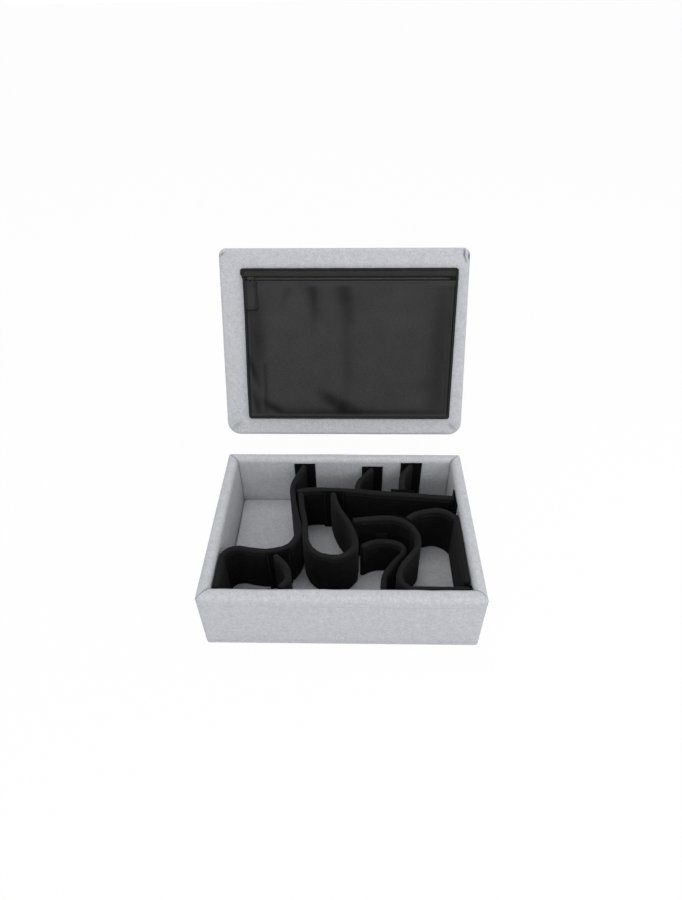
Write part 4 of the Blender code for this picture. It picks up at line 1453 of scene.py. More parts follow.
@dataclass
class DividerPad:
    """The padded strip of one divider: loop cloth over foam, bent to its route.

    Shares are of the strip's thickness or of its height.
    """

    name: str
    seed: int
    step: float = 2.6 * MM
    bend_reach: int = 4
    radius_share: float = 0.46
    outline_step: float = 7 * MM
    corner_turns: int = 5
    end_round: float = 3.2 * MM
    end_narrowing: float = 0.65
    end_lowering: float = 0.012
    wrinkle: float = 1.1 * MM
    wrinkle_pitch: float = 15 * MM
    wrinkle_sharpness: int = 3
    wrinkle_gain: float = 0.035
    wrinkle_shares: tuple[float, float] = (0.35, 0.95)
    wrinkle_least: float = 0.35
    soft: Lumps = Lumps(100 * MM)
    ripple: Lumps = Lumps(40 * MM, seed=1)
    wander: Lumps = Lumps(90 * MM, 0.35, seed=2)
    dent: float = 0.45 * MM
    dent_from: float = 1 * MM
    sag: float = 0.9 * MM
    sag_ripple: float = 0.4 * MM
    crest_share: float = 1.4
    wear_and_rim_highlight_shares: tuple[float, float] = (0.9, 0.25)
    seam_ends: int = 4
    seam_sink: float = 0.15 * MM
    seam_share: float = 1.1

    def __post_init__(self) -> None:
        """Read the strip, and space its route and draw its section."""
        self.strip = Strip.of(f"{self.name}_pad")
        self.route = respaced(self.strip.route, self.step)
        self.sides = plan_normals(self.route)
        self.along = lengths_along(self.route)[:, None]
        self.outline = self.strip.section(self.radius_share, self.outline_step, self.corner_turns)

    def wrinkles(self, spots: np.ndarray) -> np.ndarray:
        """How deep the cloth wrinkles on the inner side of the bends.

        Args:
            spots: The strip's rings.

        Returns:
            One depth for each of their points.
        """
        bend = plan_bend(self.route, self.bend_reach)[:, None]
        offset, level = self.outline.T
        inner = np.clip(offset / self.strip.thickness * 2 * np.sign(bend), 0, 1)
        tight = np.minimum(1.0, np.abs(bend) * self.wrinkle_gain)
        turns = self.along / self.wrinkle_pitch + self.wander.field(spots, self.seed)
        folds = 0.5 + 0.5 * np.sin(2 * math.pi * turns)
        high = step_up(level, *(self.strip.height * np.array(self.wrinkle_shares)))
        high = self.wrinkle_least + (1 - self.wrinkle_least) * high
        return self.wrinkle * tight * inner * folds ** self.wrinkle_sharpness * high

    def rings(self) -> np.ndarray:
        """The strip's rings, wrinkled and dented, and drawn in at both ends."""
        strip, (offset, level) = self.strip, self.outline.T
        spots = swept(self.route, self.sides, self.outline + [0, strip.base])
        soft, ripple = (lumps.dents(spots, self.seed) for lumps in (self.soft, self.ripple))
        dent = self.wrinkles(spots) + self.dent * soft
        dent = np.where(np.abs(offset) > self.dent_from, dent, 0.0)
        from_end = np.minimum(self.along, self.along[-1] - self.along)
        narrow = 1 - self.end_narrowing * rounding(from_end, self.end_round)
        moved = np.sign(offset) * np.maximum(np.abs(offset) * narrow - dent, 0.0)
        spots[..., :2] = self.route[:, None] + self.sides[:, None] * moved[..., None]
        crest = step_up(level, strip.height - self.crest_share * strip.thickness, strip.height)
        spots[..., 2] -= crest * (self.sag * soft + self.sag_ripple * ripple)
        middle = strip.base + strip.height / 2
        lower = 1 - self.end_lowering * nearness(from_end, self.end_round) ** 2
        spots[..., 2] = middle + (spots[..., 2] - middle) * lower
        return spots

    def build(self) -> None:
        """Make the padded strip and its seam."""
        strip, level = self.strip, self.outline[:, 1]
        piece = lofted(f"{self.name}_padding", self.rings())
        # Partly rubbed wear, partly painted highlight: the pile is paler towards the top edge, where light falls
        # on the rim.
        rubbed = step_up(level, *(strip.height - strip.thickness * np.array(self.wear_and_rim_highlight_shares)))
        mark(piece, "rubbed", np.tile(rubbed, len(self.route)))
        dress(piece, Look.BLACK_PILE, Slot.BLACK_CLOTH, self.name, f"{self.name}_pad")
        inside = slice(self.seam_ends, -self.seam_ends)
        out = strip.thickness / 2 - self.seam_sink
        seam = self.route[inside] + self.sides[inside] * out
        seam_level = np.full(len(seam), strip.top - self.seam_share * strip.thickness)
        SEAMS.add(self.name, Look.BLACK_THREAD, np.column_stack([seam, seam_level]))


@dataclass
class HookTab:
    """A hook-tape tab sewn across a divider's end.

    Its upper corners curl and slant by the given sizes. Shares are of its thickness
    or of its height.
    """

    divider: str
    label: str
    seed: int
    curl: float = 0.0
    slant: float = 0.0
    step: float = 3.0 * MM
    radius_share: float = 0.42
    outline_step: float = 5 * MM
    corner_turns: int = 3
    edge: float = 3.5 * MM
    border: float = 4.375 * MM
    thin_share: float = 0.82
    curl_from_share: float = 0.72
    slant_from_share: float = 0.5
    wave: float = 0.5 * MM
    waves: float = 1.5
    wave_from_share: float = 0.6
    seam_inset: float = 4 * MM
    seam_lift: float = 0.05 * MM
    shortest_sewn: float = 30 * MM

    def build(self) -> None:
        """Make the tab."""
        node = f"{self.divider}_{self.label}"
        strip = Strip.of(node)
        route = respaced(strip.route, self.step)
        sides, along = plan_normals(route), lengths_along(route)
        away = self.away(route, sides)
        height, length = strip.height, along[-1]
        offset, level = strip.section(self.radius_share, self.outline_step, self.corner_turns).T
        share = (along / length)[:, None]
        curled, waved, slanted = (step_up(level, height * part, height) for part in (
            self.curl_from_share, self.wave_from_share, self.slant_from_share))
        wave = 0.5 + 0.5 * np.sin(2 * math.pi * self.waves * share + self.seed)
        lift = self.curl * curled * (2 * share - 1) ** 2 + self.wave * wave * waved
        from_end = np.minimum(along, length - along)[:, None]
        thin = np.where(from_end < self.border, 1.0, self.thin_share)
        moved = offset * thin + away * lift
        rise = self.slant * (share - 1) * slanted
        spots = np.empty((*moved.shape, 3))
        spots[..., :2] = route[:, None] + sides[:, None] * moved[..., None]
        spots[..., 2] = level + strip.base + rise
        piece = lofted(f"{node}_tape", spots)
        dress(piece, Look.HOOK_WEAVE, Slot.HOOK_TAPE, self.divider, node)
        if length > self.shortest_sewn:
            face = route + sides * away * (strip.thickness / 2 + self.seam_lift)
            for place in (self.edge, length - self.edge):
                spot = np.abs(along - place).argmin()
                SEAMS.add(self.divider, Look.BLACK_THREAD, upright(
                    face[spot], strip.base + self.seam_inset, strip.top - self.seam_inset))

    def away(self, route: np.ndarray, sides: np.ndarray) -> float:
        """Which side of the tab faces its divider.

        Args:
            route: The tab's route.
            sides: The route's left-hand normals.

        Returns:
            1 for the left of the route, -1 for its right.
        """
        pad = Strip.of(f"{self.divider}_pad").route
        middle = route[len(route) // 2]
        towards = pad[np.linalg.norm(pad - middle, axis=1).argsort()[1]] - middle
        return float(np.sign(sides[len(route) // 2] @ towards) or 1.0)


@dataclass
class Dividers:
    """All nine dividers with their tabs."""

    corner_curl: float = 2.0 * MM
    corner_slant: float = 9.0 * MM

    def build(self) -> None:
        """Make each divider's padding and tabs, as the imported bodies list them."""
        bodies = frame["record"]["behaviour"]["bodies"]
        for number, name in enumerate(sorted(name for name in bodies if "divider" in name)):
            DividerPad(name, DIVIDER_SEED + DIVIDER_SEED_STEP * number).build()
            for label in (node.removeprefix(name + "_") for node in bodies[name]):
                if label == "corner_tab":
                    HookTab(name, label, SEED + number, self.corner_curl, self.corner_slant).build()
                elif label != "pad":
                    HookTab(name, label, SEED + number).build()


# Lid panel

class LidFace:
    """The open lid panel's own directions: across it, up it and out of its face."""

    def __init__(self) -> None:
        """Read the lean from the swing's range, and the origin from the cover."""
        swing = next(joint for joint in frame["joints"] if joint["name"] == "lid_swing")
        lean = math.pi - math.radians(max(abs(limit) for limit in swing["range_deg"]))
        self.axes = np.array([(1.0, 0.0, 0.0), (0.0, math.cos(lean), math.sin(lean)),
                              (0.0, -math.sin(lean), math.cos(lean))])
        self.origin = np.zeros(3)
        low, high = self.box("lid_cover")
        self.origin = self.axes[1] * low[1] + self.axes[2] * high[2]

    def points(self, node: str) -> np.ndarray:
        """A CAD node's points on the lid's own directions."""
        return self.flat(np.array([vert.co for vert in frame["nodes"][node].data.vertices]))

    def flat(self, points: np.ndarray) -> np.ndarray:
        """Carry points from the row frame onto the lid's own directions."""
        return (points - self.origin) @ self.axes.T

    def box(self, node: str) -> tuple[np.ndarray, np.ndarray]:
        """A CAD node's lowest and highest corner on the lid's own directions."""
        points = self.points(node)
        return points.min(axis=0), points.max(axis=0)

    def place(self, points: np.ndarray) -> np.ndarray:
        """Carry points from the lid's own directions into the row frame."""
        return self.origin + points @ self.axes

    def level(self, plan: np.ndarray, out: float | np.ndarray) -> np.ndarray:
        """Plan points on the lid at a level out of its face, in the row frame."""
        levels = np.broadcast_to(out, plan.shape[:-1])
        return self.place(np.concatenate([plan, levels[..., None]], axis=-1))

    def sew(self, plan: np.ndarray, out: float, body: str = LID,
            thread: Look = Look.BLACK_THREAD) -> None:
        """Keep a row of stitches at a level out of the lid's face."""
        SEAMS.add(body, thread, self.level(plan, out))

    def matrix(self, spot: np.ndarray, way: int) -> Matrix:
        """Where a field of copies stands, facing out of the lid for 1 and into it for -1."""
        turn = Matrix((self.axes * np.array([1, way, way])[:, None]).T)
        return Matrix.Translation(self.place(spot)) @ turn.to_4x4()


@dataclass(frozen=True)
class Fold:
    """A soft fold in cloth, between two places on the lid's face.

    Its left bank, seen from its start to its end, drops within the width; its right
    bank comes back up over a few widths, as the spread says.
    """

    start: tuple[float, float]
    end: tuple[float, float]
    width: float
    depth: float
    spread: float = 1.0
    end_reach: float = 2.2
    end_fade: float = 0.4

    def dip(self, plan: np.ndarray) -> np.ndarray:
        """How far the fold lowers the cloth.

        Args:
            plan: Places on the lid's face, with their coordinates on the last axis.

        Returns:
            One depth for each place.
        """
        start, run = np.array(self.start), np.array(self.end) - self.start
        length = np.linalg.norm(run)
        share = (plan - start) @ run / length ** 2
        from_middle = np.abs(2 * share - 1)
        beyond = np.maximum(from_middle - 1, 0) * length / 2
        offset = plan - (start + share[..., None] * run)
        side = (run[0] * offset[..., 1] - run[1] * offset[..., 0]) / length
        width = np.where(side > 0, self.width, self.width * self.spread)
        fade = np.exp(-(beyond / (self.end_reach * self.width)) ** 2)
        ends = 1 - self.end_fade * np.clip(from_middle, 0, 1) ** 3
        return self.depth * ends * fade * np.exp(-(side / width) ** 2)


FOLDS = (
    Fold((-0.064, 0.288), (-0.069, 0.330), 12.0 * MM, 3.0 * MM),
    Fold((-0.064, 0.230), (-0.066, 0.285), 9.0 * MM, 0.7 * MM),
    Fold((0.006, 0.290), (-0.004, 0.330), 18.0 * MM, 3.2 * MM),
    Fold((0.007, 0.110), (0.006, 0.285), 15 * MM, 1.3 * MM),
    Fold((-0.128, 0.298), (-0.120, 0.328), 8.0 * MM, 1.1 * MM),
    Fold((-0.013, 0.068), (0.009, 0.057), 15.0 * MM, 5.4 * MM),
    Fold((-0.044, 0.092), (-0.018, 0.078), 11.0 * MM, 2.2 * MM),
    Fold((-0.172, 0.072), (-0.138, 0.051), 8.0 * MM, 4.2 * MM, 1.2),
    Fold((-0.176, 0.050), (-0.176, 0.159), 3.2 * MM, 2.2 * MM, 1.6),
    Fold((-0.194, 0.118), (-0.209, 0.168), 5.5 * MM, 3.2 * MM, 1.5),
    Fold((-0.194, 0.052), (-0.201, 0.088), 6.5 * MM, 3.4 * MM, 1.4),
    Fold((-0.190, 0.165), (-0.192, 0.280), 16 * MM, 2.8 * MM),
    Fold((0.207, 0.052), (0.215, 0.315), 26 * MM, 2.6 * MM),
    Fold((-0.110, 0.048), (0.205, 0.048), 9.0 * MM, 2.8 * MM),
)
PRESSED = Fold((0.150, 0.035), (0.150, 0.120), 75 * MM, 3.8 * MM)
GATHERS = (
    Fold((0.2550, 0.4040), (0.2547, 0.3925), 1.5 * MM, 2.6 * MM, 1.6),
    Fold((0.2547, 0.3925), (0.2597, 0.3790), 1.3 * MM, 2.0 * MM, 1.6),
    Fold((0.2650, 0.3960), (0.2655, 0.3850), 2.0 * MM, 3.2 * MM, 1.2),
    Fold((-0.2650, 0.3915), (-0.2560, 0.3980), 2.4 * MM, 1.8 * MM),
    Fold((-0.2520, 0.0160), (-0.2400, 0.0270), 4.0 * MM, 1.2 * MM, 1.6),
    Fold((0.2500, 0.0150), (0.2390, 0.0250), 4.0 * MM, 1.2 * MM, 1.6),
)


def dips(folds: tuple[Fold, ...], plan: np.ndarray) -> np.ndarray:
    """How far some folds lower the cloth together."""
    return sum(fold.dip(plan) for fold in folds)


@dataclass
class LidPanel:
    """The padded panel, its board and its hook patches."""

    face: LidFace
    top_corner: float = 16 * MM
    bottom_corner: float = 29 * MM
    corner_steps: int = 8
    roll: float = 7 * MM
    back_roll: float = 1.5 * MM
    step: float = 6 * MM
    margin: float = 34 * MM
    cloth: float = 1.9 * MM
    cloth_edge: float = 0.5 * MM
    board_clearance: float = 2.8 * MM
    gather_shade_depth: float = 3 * MM
    soft: Lumps = Lumps(150 * MM, 0.5 * MM, LID_SEED)
    ripple: Lumps = Lumps(50 * MM, 0.8 * MM, LID_SEED + 1)
    ripple_border: tuple[float, float] = (8 * MM, 42 * MM)
    side_dents: Lumps = Lumps(90 * MM, 0.8 * MM, LID_SEED + 10)
    seam_lift: float = 0.05 * MM
    seam_height: float = 5 * MM

    def shape(self, points: np.ndarray, edge: np.ndarray, zone: Zone) -> np.ndarray:
        """Dents, gathers and the turned-in cloth round the board.

        Args:
            points: Points on the lid's own directions.
            edge: Their distance from the panel's edge.
            zone: Their zone.

        Returns:
            The moved points.
        """
        moved = points.copy()
        if zone is Zone.TOP:
            rim = 1 - step_up(edge, *self.ripple_border)
            moved[:, 2] -= self.soft.dents(points) + rim * self.ripple.dents(points)
            moved[:, 2] -= dips(GATHERS, points[:, :2])
        elif zone is Zone.RIM:
            inward = sum(self.face.box("lid_cover"))[:2] / 2 - points[:, :2]
            inward /= np.linalg.norm(inward, axis=1)[:, None]
            moved[:, :2] += inward * self.side_dents.dents(points)[:, None]
        else:
            turned_in = step_up(edge, self.cloth, self.cloth + self.cloth_edge)
            moved[:, 2] += self.board_clearance * turned_in
        return moved

    def build(self) -> None:
        """Make the pad, dress the board, and make the hook patches."""
        low, high = self.face.box("lid_cover")
        radii = np.array([self.top_corner, self.top_corner, self.bottom_corner, self.bottom_corner])
        block = PadBlock(low, high, self.roll, self.back_roll, tuple(radii), self.step,
                         side_lines=4, margin=self.margin)
        piece = block.build("lid_pad", self.shape, self.face.place)
        # Painted shade in the gathers: the mark darkens the cloth where the gathers dip.
        points = self.face.flat(np.array([vert.co for vert in piece.data.vertices]))
        drawn = dips(GATHERS, points[:, :2]) * (points[:, 2] > low[2] / 2)
        mark(piece, "crease", drawn / self.gather_shade_depth)
        dress(piece, Look.GREY_PILE, Slot.GREY_CLOTH, LID, "lid_cover", "lid_foam")
        coat_with(frame["nodes"]["lid_board"], Look.FIBRE_BOARD)
        lift = self.seam_lift
        arcs = corner_arcs(low - lift, high + lift, tuple(radii + lift), self.corner_steps)
        ring = closed(np.vstack(arcs[-1:] + arcs[:-1]))
        self.face.sew(ring, low[2] + self.seam_height, thread=Look.GREY_THREAD)
        for row in ("lower", "upper"):
            for column in ("left", "right"):
                HookPatch(self.face, f"lid_hook_patch_{row}_{column}").build()


@dataclass
class HookPatch:
    """A patch of hook tape on the panel's back."""

    face: LidFace
    node: str
    pitch: float = 2.4 * MM
    border: float = 4 * MM
    edge: float = 0.5 * MM
    corner: float = 3 * MM
    step: float = 6 * MM
    sway: float = 0.5
    hook_height: float = 1.0 * MM
    hook_gap: float = 0.1 * MM
    wire: float = 0.16 * MM
    wire_width_share: float = 1.5
    wire_turns: tuple[float, ...] = (45, 135, 225, 315)
    stem_share: float = 0.55
    bend_start_share: float = 0.6
    bend_share: float = 0.32
    bend_turns: tuple[float, ...] = (60, 120, 170)
    seam_sink: float = 0.05 * MM

    def hook(self) -> bpy.types.Object:
        """One hook: a thin stem along +Z that bends over."""
        height, bend = self.hook_height, self.hook_height * self.bend_share
        over = spokes(np.radians(self.bend_turns)) * [-bend, bend]
        path = np.vstack([[(0.0, 0.0), (0.0, height * self.stem_share)],
                          over + [bend, height * self.bend_start_share]])
        outline = spokes(np.radians(self.wire_turns)) * [self.wire, self.wire * self.wire_width_share]
        return lofted("hook", swept(path, -plan_normals(path), outline)[..., [0, 2, 1]])

    def build(self) -> None:
        """Make the patch's tape, its hooks and its stitching."""
        low, high = self.face.box(self.node)
        name = self.node.removeprefix("lid_")
        block = PadBlock(low + [0, 0, self.hook_height], high, self.edge, self.edge,
                         (self.corner,) * 4, self.step, side_lines=1, roll_lines=3)
        piece = block.build(f"{name}_tape", lambda points, edge, zone: points, self.face.place)
        dress(piece, Look.HOOK_WEAVE, Slot.HOOK_TAPE, LID, self.node)
        flat = (high - low)[:2]
        tuple(float(size) for size in flat)
        width, height = flat - 2 * self.border
        hooks = Repeats.run(f"{name}_hooks", Repeats.in_field(), self.hook(), Look.MOULDED_TEETH, [],
                            Width=float(width), Height=float(height), Sway=self.sway,
                            Columns=int(width / self.pitch), Rows=int(height / self.pitch))
        centre = np.append((low + high)[:2] / 2, low[2] + self.hook_height + self.hook_gap)
        hooks.data.transform(self.face.matrix(centre, -1))
        dress(hooks, Look.MOULDED_TEETH, Slot.HOOK_TAPE, LID)
        inset = self.border / 2
        ring = np.array([np.where(np.array(way) > 0, high[:2] - inset, low[:2] + inset)
                         for way in QUARTERS[2:] + QUARTERS[:2]])
        self.face.sew(closed(ring), low[2] + self.hook_height - self.seam_sink)


# Pocket

@dataclass
class Pocket:
    """The pocket's cloth front, top band and bound edge.

    The front bellies out within its billow borders, is held down by its binding and
    by its zipper within its hold borders, and dips along a gusset on both sides.
    """

    face: LidFace
    step: float = 2.4 * MM
    cloth: float = 0.8 * MM
    billow: float = 4.5 * MM
    billow_side: float = 55 * MM
    billow_foot: float = 40 * MM
    billow_head: tuple[float, float] = (63 * MM, 110 * MM)
    hold_foot: float = 7 * MM
    hold_head: tuple[float, float] = (8 * MM, 17 * MM)
    deepest: float = 5.5 * MM
    fold_shade_gain: float = 1.22
    waves: Lumps = Lumps(70 * MM, 0.45 * MM, POCKET_SEED)
    lip: float = 0.7 * MM
    lip_border: tuple[float, float] = (2.5 * MM, 5 * MM)
    lip_edge: tuple[float, float] = (-1 * MM, 1 * MM)
    gusset: float = 9.5 * MM
    gusset_edge: tuple[float, float] = (-1 * MM, 0.8 * MM)
    gusset_drop: float = 1.6 * MM
    gusset_seam: float = 2.2 * MM
    gusset_seam_ends: tuple[float, float] = (6 * MM, 4 * MM)
    gusset_seam_lift: float = 0.15 * MM
    gusset_seam_points: int = 90
    bulge: float = 4.25 * MM
    bulge_shares: tuple[float, float] = (0.1, 0.85)
    neck: tuple[float, float] = (-5 * MM, 7 * MM)
    hem: float = 3.2 * MM
    hem_lines: int = 9
    hem_rise: float = 1.5 * MM
    hem_squareness: float = 0.7
    band_from: float = 4 * MM
    band_lines: int = 5
    band_waves: Lumps = Lumps(50 * MM, 0.3 * MM, POCKET_SEED + 10)
    band_seams: tuple[float, float] = (4.2 * MM, 1.6 * MM)
    band_seam_inset: float = 3 * MM
    band_seam_lift: float = 0.3 * MM
    band_seam_points: int = 80
    binding_width: float = 5.2 * MM
    binding_corner: float = 3.5 * MM
    binding_corner_steps: int = 6
    binding_side_points: int = 60
    binding_end_points: int = 70
    binding_round: float = 1.9 * MM
    binding_turns: int = 4
    binding_step: float = 1.2 * MM
    binding_ripples: tuple[tuple[float, float], ...] = ((0.03, 9 * MM), (0.02, 3.7 * MM))
    binding_seam_share: float = 0.28
    binding_seam_sink: float = 0.1 * MM

    def __post_init__(self) -> None:
        """Read the pocket's outline from its CAD binding, front and band."""
        points = self.face.points("pocket_binding")
        self.low, self.high = points.min(axis=0), points.max(axis=0)
        self.base = points[points[:, 1] < self.low[1] + MM]
        self.head = points[points[:, 1] > self.high[1] - MM]
        self.front = self.face.box("pocket_front")
        self.band = self.face.box("pocket_top_band")

    def side(self, up: np.ndarray, way: int, inset: float = 0.0) -> np.ndarray:
        """The pocket's side edge.

        Args:
            up: Heights on the lid's face.
            way: -1 for the left side, 1 for the right one.
            inset: How far the edge is moved in.

        Returns:
            The edge's place across the lid at each height.
        """
        pick = np.min if way < 0 else np.max
        base, head = pick(self.base[:, 0]), pick(self.head[:, 0])
        share = (up - self.low[1]) / (self.high[1] - self.low[1])
        edge = base + (head - base) * share - way * inset
        if way < 0:
            drawn = step_up(share, *self.bulge_shares)
            drawn *= 1 - step_up(up, *(self.band[0][1] + np.array(self.neck)))
            edge += self.bulge * drawn
        return edge

    def plan(self, ups: np.ndarray, columns: int) -> np.ndarray:
        """Rows of places between the bound sides, one for each height."""
        left, right = (self.side(ups, way, self.binding_width) for way in (-1, 1))
        across = np.linspace(left, right, columns, axis=1)
        return np.stack([across, np.broadcast_to(ups[:, None], across.shape)], axis=2)

    def build(self) -> None:
        """Make the front, the band and the binding."""
        self.build_front()
        self.build_band()
        self.build_binding()

    def build_front(self) -> None:
        """Make the nylon front, folded where the zipper and the binding draw it in."""
        low, high = self.front
        width, height = (high - low)[:2]
        columns, rows = round(width / self.step) + 1, round(height / self.step) + 1
        plan = self.plan(np.linspace(low[1], high[1], rows), columns)
        across, up = plan[..., 0], plan[..., 1]
        from_side = np.minimum(across - across[:, :1], across[:, -1:] - across)
        from_low, from_high = up - low[1], high[1] - up
        body = np.sin(math.pi / 2 * (1 - nearness(from_side, self.billow_side)))
        body *= np.sin(math.pi / 2 * (1 - nearness(from_low, self.billow_foot)))
        body *= step_up(from_high, *self.billow_head)
        hold = step_up(from_low, 0.0, self.hold_foot) * step_up(from_high, *self.hold_head)
        gusset = 1 - step_up(from_side, *(self.gusset + np.array(self.gusset_edge)))
        dip = self.deepest * np.tanh(dips(FOLDS, plan) / self.deepest) * hold
        lip = (1 - step_up(from_high, *self.lip_border)) * step_up(from_high, *self.lip_edge)
        level = high[2] + body * (self.billow + self.waves.field(plan) - PRESSED.dip(plan))
        level += self.lip * lip - dip - self.gusset_drop * hold * gusset
        piece = sheet_of("pocket_cloth", self.face.level(plan, level), self.cloth)
        # Painted shade in the folds: the mark darkens the nylon where the folds dip.
        mark(piece, "crease", self.fold_shade_gain * dip / self.deepest)
        dress(piece, Look.SATIN_NYLON, Slot.NYLON, LID, "pocket_front")
        foot, head = self.gusset_seam_ends
        ups = np.linspace(low[1] + foot, high[1] - head, self.gusset_seam_points)
        out = high[2] - self.gusset_drop + self.gusset_seam_lift
        for way in (-1, 1):
            inner = self.side(ups, way, self.binding_width + self.gusset - self.gusset_seam)
            self.face.sew(np.column_stack([inner, ups]), out)

    def build_band(self) -> None:
        """Make the band above the zipper, its lower edge rolled into a hem."""
        low, high = self.band
        width, height = (high - low)[:2]
        ups = np.concatenate([np.linspace(low[1], low[1] + self.hem, self.hem_lines),
                              np.linspace(low[1] + self.band_from, high[1], self.band_lines)])
        plan = self.plan(ups, round(width / (2 * self.step)) + 1)
        rolled = np.sin(np.clip((ups - low[1]) / self.hem, 0, 1) * math.pi) ** self.hem_squareness
        level = high[2] + self.hem_rise * rolled[:, None] + self.band_waves.field(plan)
        piece = sheet_of("pocket_band", self.face.level(plan, level), self.cloth)
        dress(piece, Look.BAND_NYLON, Slot.NYLON, LID, "pocket_top_band")
        left, right = plan[0, 0, 0] + self.band_seam_inset, plan[0, -1, 0] - self.band_seam_inset
        for up in (low[1] + self.band_seams[0], high[1] - self.band_seams[1]):
            row = np.linspace((left, up), (right, up), self.band_seam_points)
            self.face.sew(row, high[2] + self.band_seam_lift)

    def ring(self) -> np.ndarray:
        """The middle line of the binding in plan, anticlockwise from the lower right corner."""
        half, radius = self.binding_width / 2, self.binding_corner
        ups = np.linspace(self.low[1] + half + radius, self.high[1] - half - radius,
                          self.binding_side_points)
        right = np.column_stack([self.side(ups, 1, half), ups])
        left = np.column_stack([self.side(ups, -1, half), ups])[::-1]
        corners = [arc(point - [way * radius, 0], radius, start, self.binding_corner_steps)
                   for point, way, start in ((right[0], 1, -90), (right[-1], 1, 0),
                                             (left[0], -1, 90), (left[-1], -1, 180))]
        bottom, top = (np.linspace(start[-1], end[0], self.binding_end_points)[1:-1]
                       for start, end in ((corners[3], corners[0]), (corners[1], corners[2])))
        return np.vstack([corners[0][:-1], right, corners[1][1:], top, corners[2], left[1:-1],
                          corners[3], bottom])

    def build_binding(self) -> None:
        """Make the binding: tape folded over the pocket's edge, down to the panel."""
        line = self.ring()
        outward, along = loop_normals(line), lengths_along(line)
        outline = round_profile(self.binding_width, self.high[2] - self.low[2], self.binding_round,
                                self.binding_step, self.binding_turns)
        ripple = 1 + sum(share * np.sin(along / pitch) for share, pitch in self.binding_ripples)
        rings = swept(line, outward * ripple[:, None],
                      outline + [0, (self.low[2] + self.high[2]) / 2])
        skin = Skin()
        skin.loft(self.face.place(rings), lengths_along(closed(outline)), endless=True)
        dress(skin.build("pocket_edge_binding"), Look.EDGE_TAPE, Slot.BINDING, LID, "pocket_binding")
        inner = line - outward * self.binding_width * self.binding_seam_share
        self.face.sew(closed(inner), self.high[2] - self.binding_seam_sink)


# Zipper

